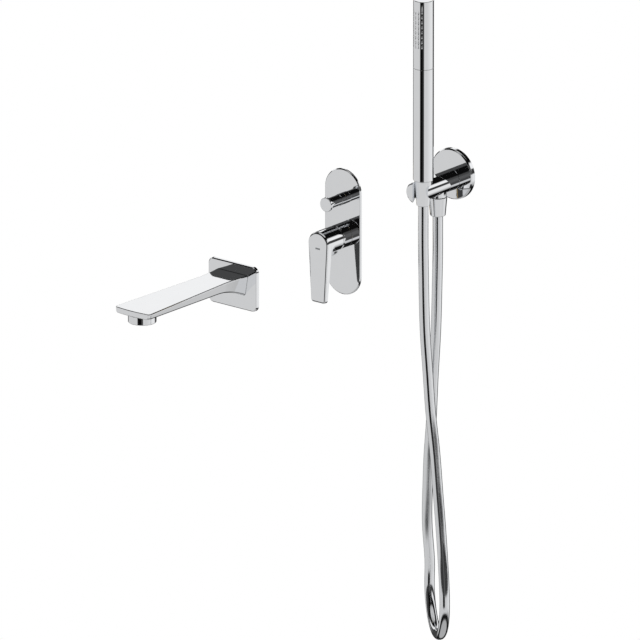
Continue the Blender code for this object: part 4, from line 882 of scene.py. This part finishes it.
hose = piece("fine_hose", hose_grid, hose_finish(), None, "shower_hose")
loops = np.zeros(len(hose.data.loops), int)
hose.data.loops.foreach_get("vertex_index", loops)
totals = np.zeros(len(hose.data.polygons), int)
hose.data.polygons.foreach_get("loop_total", totals)
ring_of, point_of = np.divmod(loops, 48)
face_of = np.repeat(np.arange(len(totals)), totals)
highest = np.maximum.reduceat(point_of, np.concatenate([[0], np.cumsum(totals)[:-1]]))
at_seam = (highest[face_of] == 47) & (point_of == 0) & (totals[face_of] == 4)
spread = np.stack([point_of / 48 + at_seam, ring_of / 719 * hose_length], axis=-1)
hose.data.uv_layers.new(name="spread").data.foreach_set("uv", spread.ravel())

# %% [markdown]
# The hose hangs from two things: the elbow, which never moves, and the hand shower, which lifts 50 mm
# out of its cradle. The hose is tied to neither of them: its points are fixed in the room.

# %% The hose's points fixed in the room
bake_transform(hose)

# %% [markdown]
# ## The pieces that stay as the frame made them
#
# Gaskets, cartridge, valve body, nipples and screws keep their own shape. Each still gets its finish.

# %% Finishes for the carried-over pieces
FINISH_OF = {
    brass: ["mixer_body", "cartridge_nut", "cartridge_stem", "diverter_bonnet", "hose_connector", "spout_nipple",
            "outlet_nipple", "handset_hose_ferrule", "outlet_hose_ferrule"],
    steel: ["cartridge_pivot_pin", "diverter_rod", "lever_set_screw", "spout_set_screw", "outlet_set_screw"],
    rubber: ["mixer_gasket", "spout_gasket", "outlet_gasket", "aerator_washer", "diverter_back_seal",
             "diverter_front_seal", "handset_hose_washer", "outlet_hose_washer", "handset_o_ring", "outlet_o_ring",
             "spout_o_ring"],
    plastic: ["cartridge_body", "cartridge_carrier", "aerator_insert", "check_valve"],
    ceramic: ["cartridge_fixed_disc", "cartridge_moving_disc"],
    mark: ["lever_indicator"],
}
for material, names in FINISH_OF.items():
    for name in names:
        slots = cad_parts[name].data.materials
        slots.clear()
        slots.append(material)
named = {name for names in FINISH_OF.values() for name in names}
left = [name for name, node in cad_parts.items() if not node.hide_render and name not in named]
print("frame pieces with no finish:", left)

# %% [markdown]
# ## Stage
#
# The faucet hangs on a plain white wall over a white floor. Both only face the room: seen from behind
# they let the view through, so that the valve body in the wall can be looked at.

# %% Wall and floor
def stage_finish(name, colour, strength):
    """White from the front, clear from the back, so it never hides the pieces behind it."""
    material = bpy.data.materials.new(name)
    material.use_nodes = True
    graph = material.node_tree
    graph.nodes.remove(graph.nodes["Principled BSDF"])
    behind = Wire(graph, graph.nodes.new("ShaderNodeNewGeometry").outputs["Backfacing"])
    light = behind.node("ShaderNodeEmission", {}, {"Color": (*colour, 1), "Strength": strength})
    clear = behind.node("ShaderNodeBsdfTransparent")
    both = graph.nodes.new("ShaderNodeMixShader")
    graph.links.new(behind.socket, both.inputs[0])
    graph.links.new(light.socket, both.inputs[1])
    graph.links.new(clear.socket, both.inputs[2])
    graph.links.new(both.outputs[0], graph.nodes["Material Output"].inputs["Surface"])
    return material


def sheet_of(name, corners, material):
    """A flat sheet of the stage, which neither shades the pieces nor shows in their mirror."""
    mesh = bpy.data.meshes.new(name)
    mesh.from_pydata(corners, [], [(0, 1, 2, 3)])
    mesh.materials.append(material)
    obj = bpy.data.objects.new(name, mesh)
    bpy.context.scene.collection.objects.link(obj)
    obj.visible_glossy = False
    obj.visible_diffuse = False
    obj.visible_shadow = False
    return obj


white = stage_finish("stage_white", (1, 1, 1), 1.0)
FLOOR_Z, WALL_TOP, REACH, SKIN = -1.1, 6, 9, -0.0001
foot = [(-REACH, SKIN, FLOOR_Z), (REACH, SKIN, FLOOR_Z)]
sheet_of("wall", foot + [(REACH, SKIN, WALL_TOP), (-REACH, SKIN, WALL_TOP)], white)
front_edge = [(-REACH, -REACH, FLOOR_Z), (REACH, -REACH, FLOOR_Z)]
sheet_of("floor", front_edge + [(REACH, 0, FLOOR_Z), (-REACH, 0, FLOOR_Z)], white)
print("stage: a wall and a floor", -FLOOR_Z, "m below the mixer")

# %% [markdown]
# ## Light
#
# Chrome has no colour of its own: it shows the room. The studio is a bright cove behind the piece, a
# dim room in front, and a large light grey card low on each side. So faces turned to the room go light
# grey, round bars get a black band above and below, and upright tubes get one thin black stripe. A
# light overhead and one underneath keep the top and the bottom of the piece from going black.
#
# All of it is one world whose brightness is a formula of the direction: the heading, in degrees from
# straight out of the wall and positive to the right, and the height, z, from -1 below to 1 above.

# %% The studio as a sphere of light
world = bpy.data.worlds.new("studio")
bpy.context.scene.world = world
world.use_nodes = True
graph = world.node_tree
toward = Wire(graph, graph.nodes.new("ShaderNodeTexCoord").outputs["Generated"])
split = graph.nodes.new("ShaderNodeSeparateXYZ")
graph.links.new(toward.socket, split.inputs[0])
x, y, z = (Wire(graph, split.outputs[axis]) for axis in "XYZ")
heading = x.math("ARCTAN2", x, y * -1.0) * (180 / np.pi)
turned_away = heading.math("ABSOLUTE", heading)
behind = turned_away.fade(72, 92)

# %% Where the studio is light and where it is dark
low_band = z.fade(-0.04, -0.10) * z.fade(-0.62, -0.54)
high_band = z.fade(0.16, 0.24) * z.fade(0.52, 0.42) * behind
horizon = z.fade(-0.15, -0.05) * z.fade(0.3, 0.2)
dark_strip = heading.fade(-4, 4) * heading.fade(50, 43) * z.fade(-0.42, -0.37)
dark_back = heading.fade(-95, -115) + heading.fade(155, 168)
dim_right = heading.fade(31, 34) * heading.fade(62, 50) * z.fade(-0.45, -0.4) * z.fade(0.5, 0.4)
dim_left = heading.fade(-75, -60) * heading.fade(-5, -20) * z.fade(0.16, 0.24) * z.fade(0.5, 0.42)
overhead = z.fade(0.80, 0.88)
underneath = z.fade(-0.74, -0.84)

# %% How bright each light is
ROOM, HORIZON, PANEL, COVE, OVERHEAD, UNDERNEATH = 0.004, 0.04, 0.06, 0.93, 0.6, 0.45
cards = 0.64 + 0.18 * heading.fade(60, 140) - 0.38 * heading.fade(80, 110) * z.fade(-0.36, -0.58)
low = low_band * (1 - dark_strip) * (1 - 0.93 * dark_back) * cards
level = ROOM + low + COVE * high_band * (1 - low_band) + HORIZON * horizon
level = level + PANEL * (dim_right + dim_left) + OVERHEAD * overhead + UNDERNEATH * underneath
eye = Wire(graph, graph.nodes.new("ShaderNodeLightPath").outputs["Is Camera Ray"])
diffuse = Wire(graph, graph.nodes.new("ShaderNodeLightPath").outputs["Is Diffuse Ray"])
level = level.math("MAXIMUM", level, diffuse * 0.75)
level = level.math("MAXIMUM", level, eye)
background = graph.nodes["Background"]
graph.links.new(level.socket, background.inputs["Strength"])
background.inputs["Color"].default_value = (1, 1, 1, 1)

# %% [markdown]
# ## Camera
#
# A long lens from far away, a little above and to the right, so that upright lines stay upright.

# %% Camera
azimuth, elevation, distance = np.radians(39.1), np.radians(18.3), 30.0
away = Vector(
    (np.sin(azimuth) * np.cos(elevation), -np.cos(azimuth) * np.cos(elevation), np.sin(elevation))
)
camera = bpy.data.objects.new("camera", bpy.data.cameras.new("camera"))
bpy.context.scene.collection.objects.link(camera)
bpy.context.scene.camera = camera
camera.data.sensor_width = 36
camera.data.lens = 36 * 793 * distance / 640
camera.location = Vector((-0.0388, 0, -0.1455)) + away * distance
camera.rotation_euler = away.to_track_quat("Z", "Y").to_euler()
camera.data.clip_end = 100
bpy.context.scene.view_settings.view_transform = "Standard"
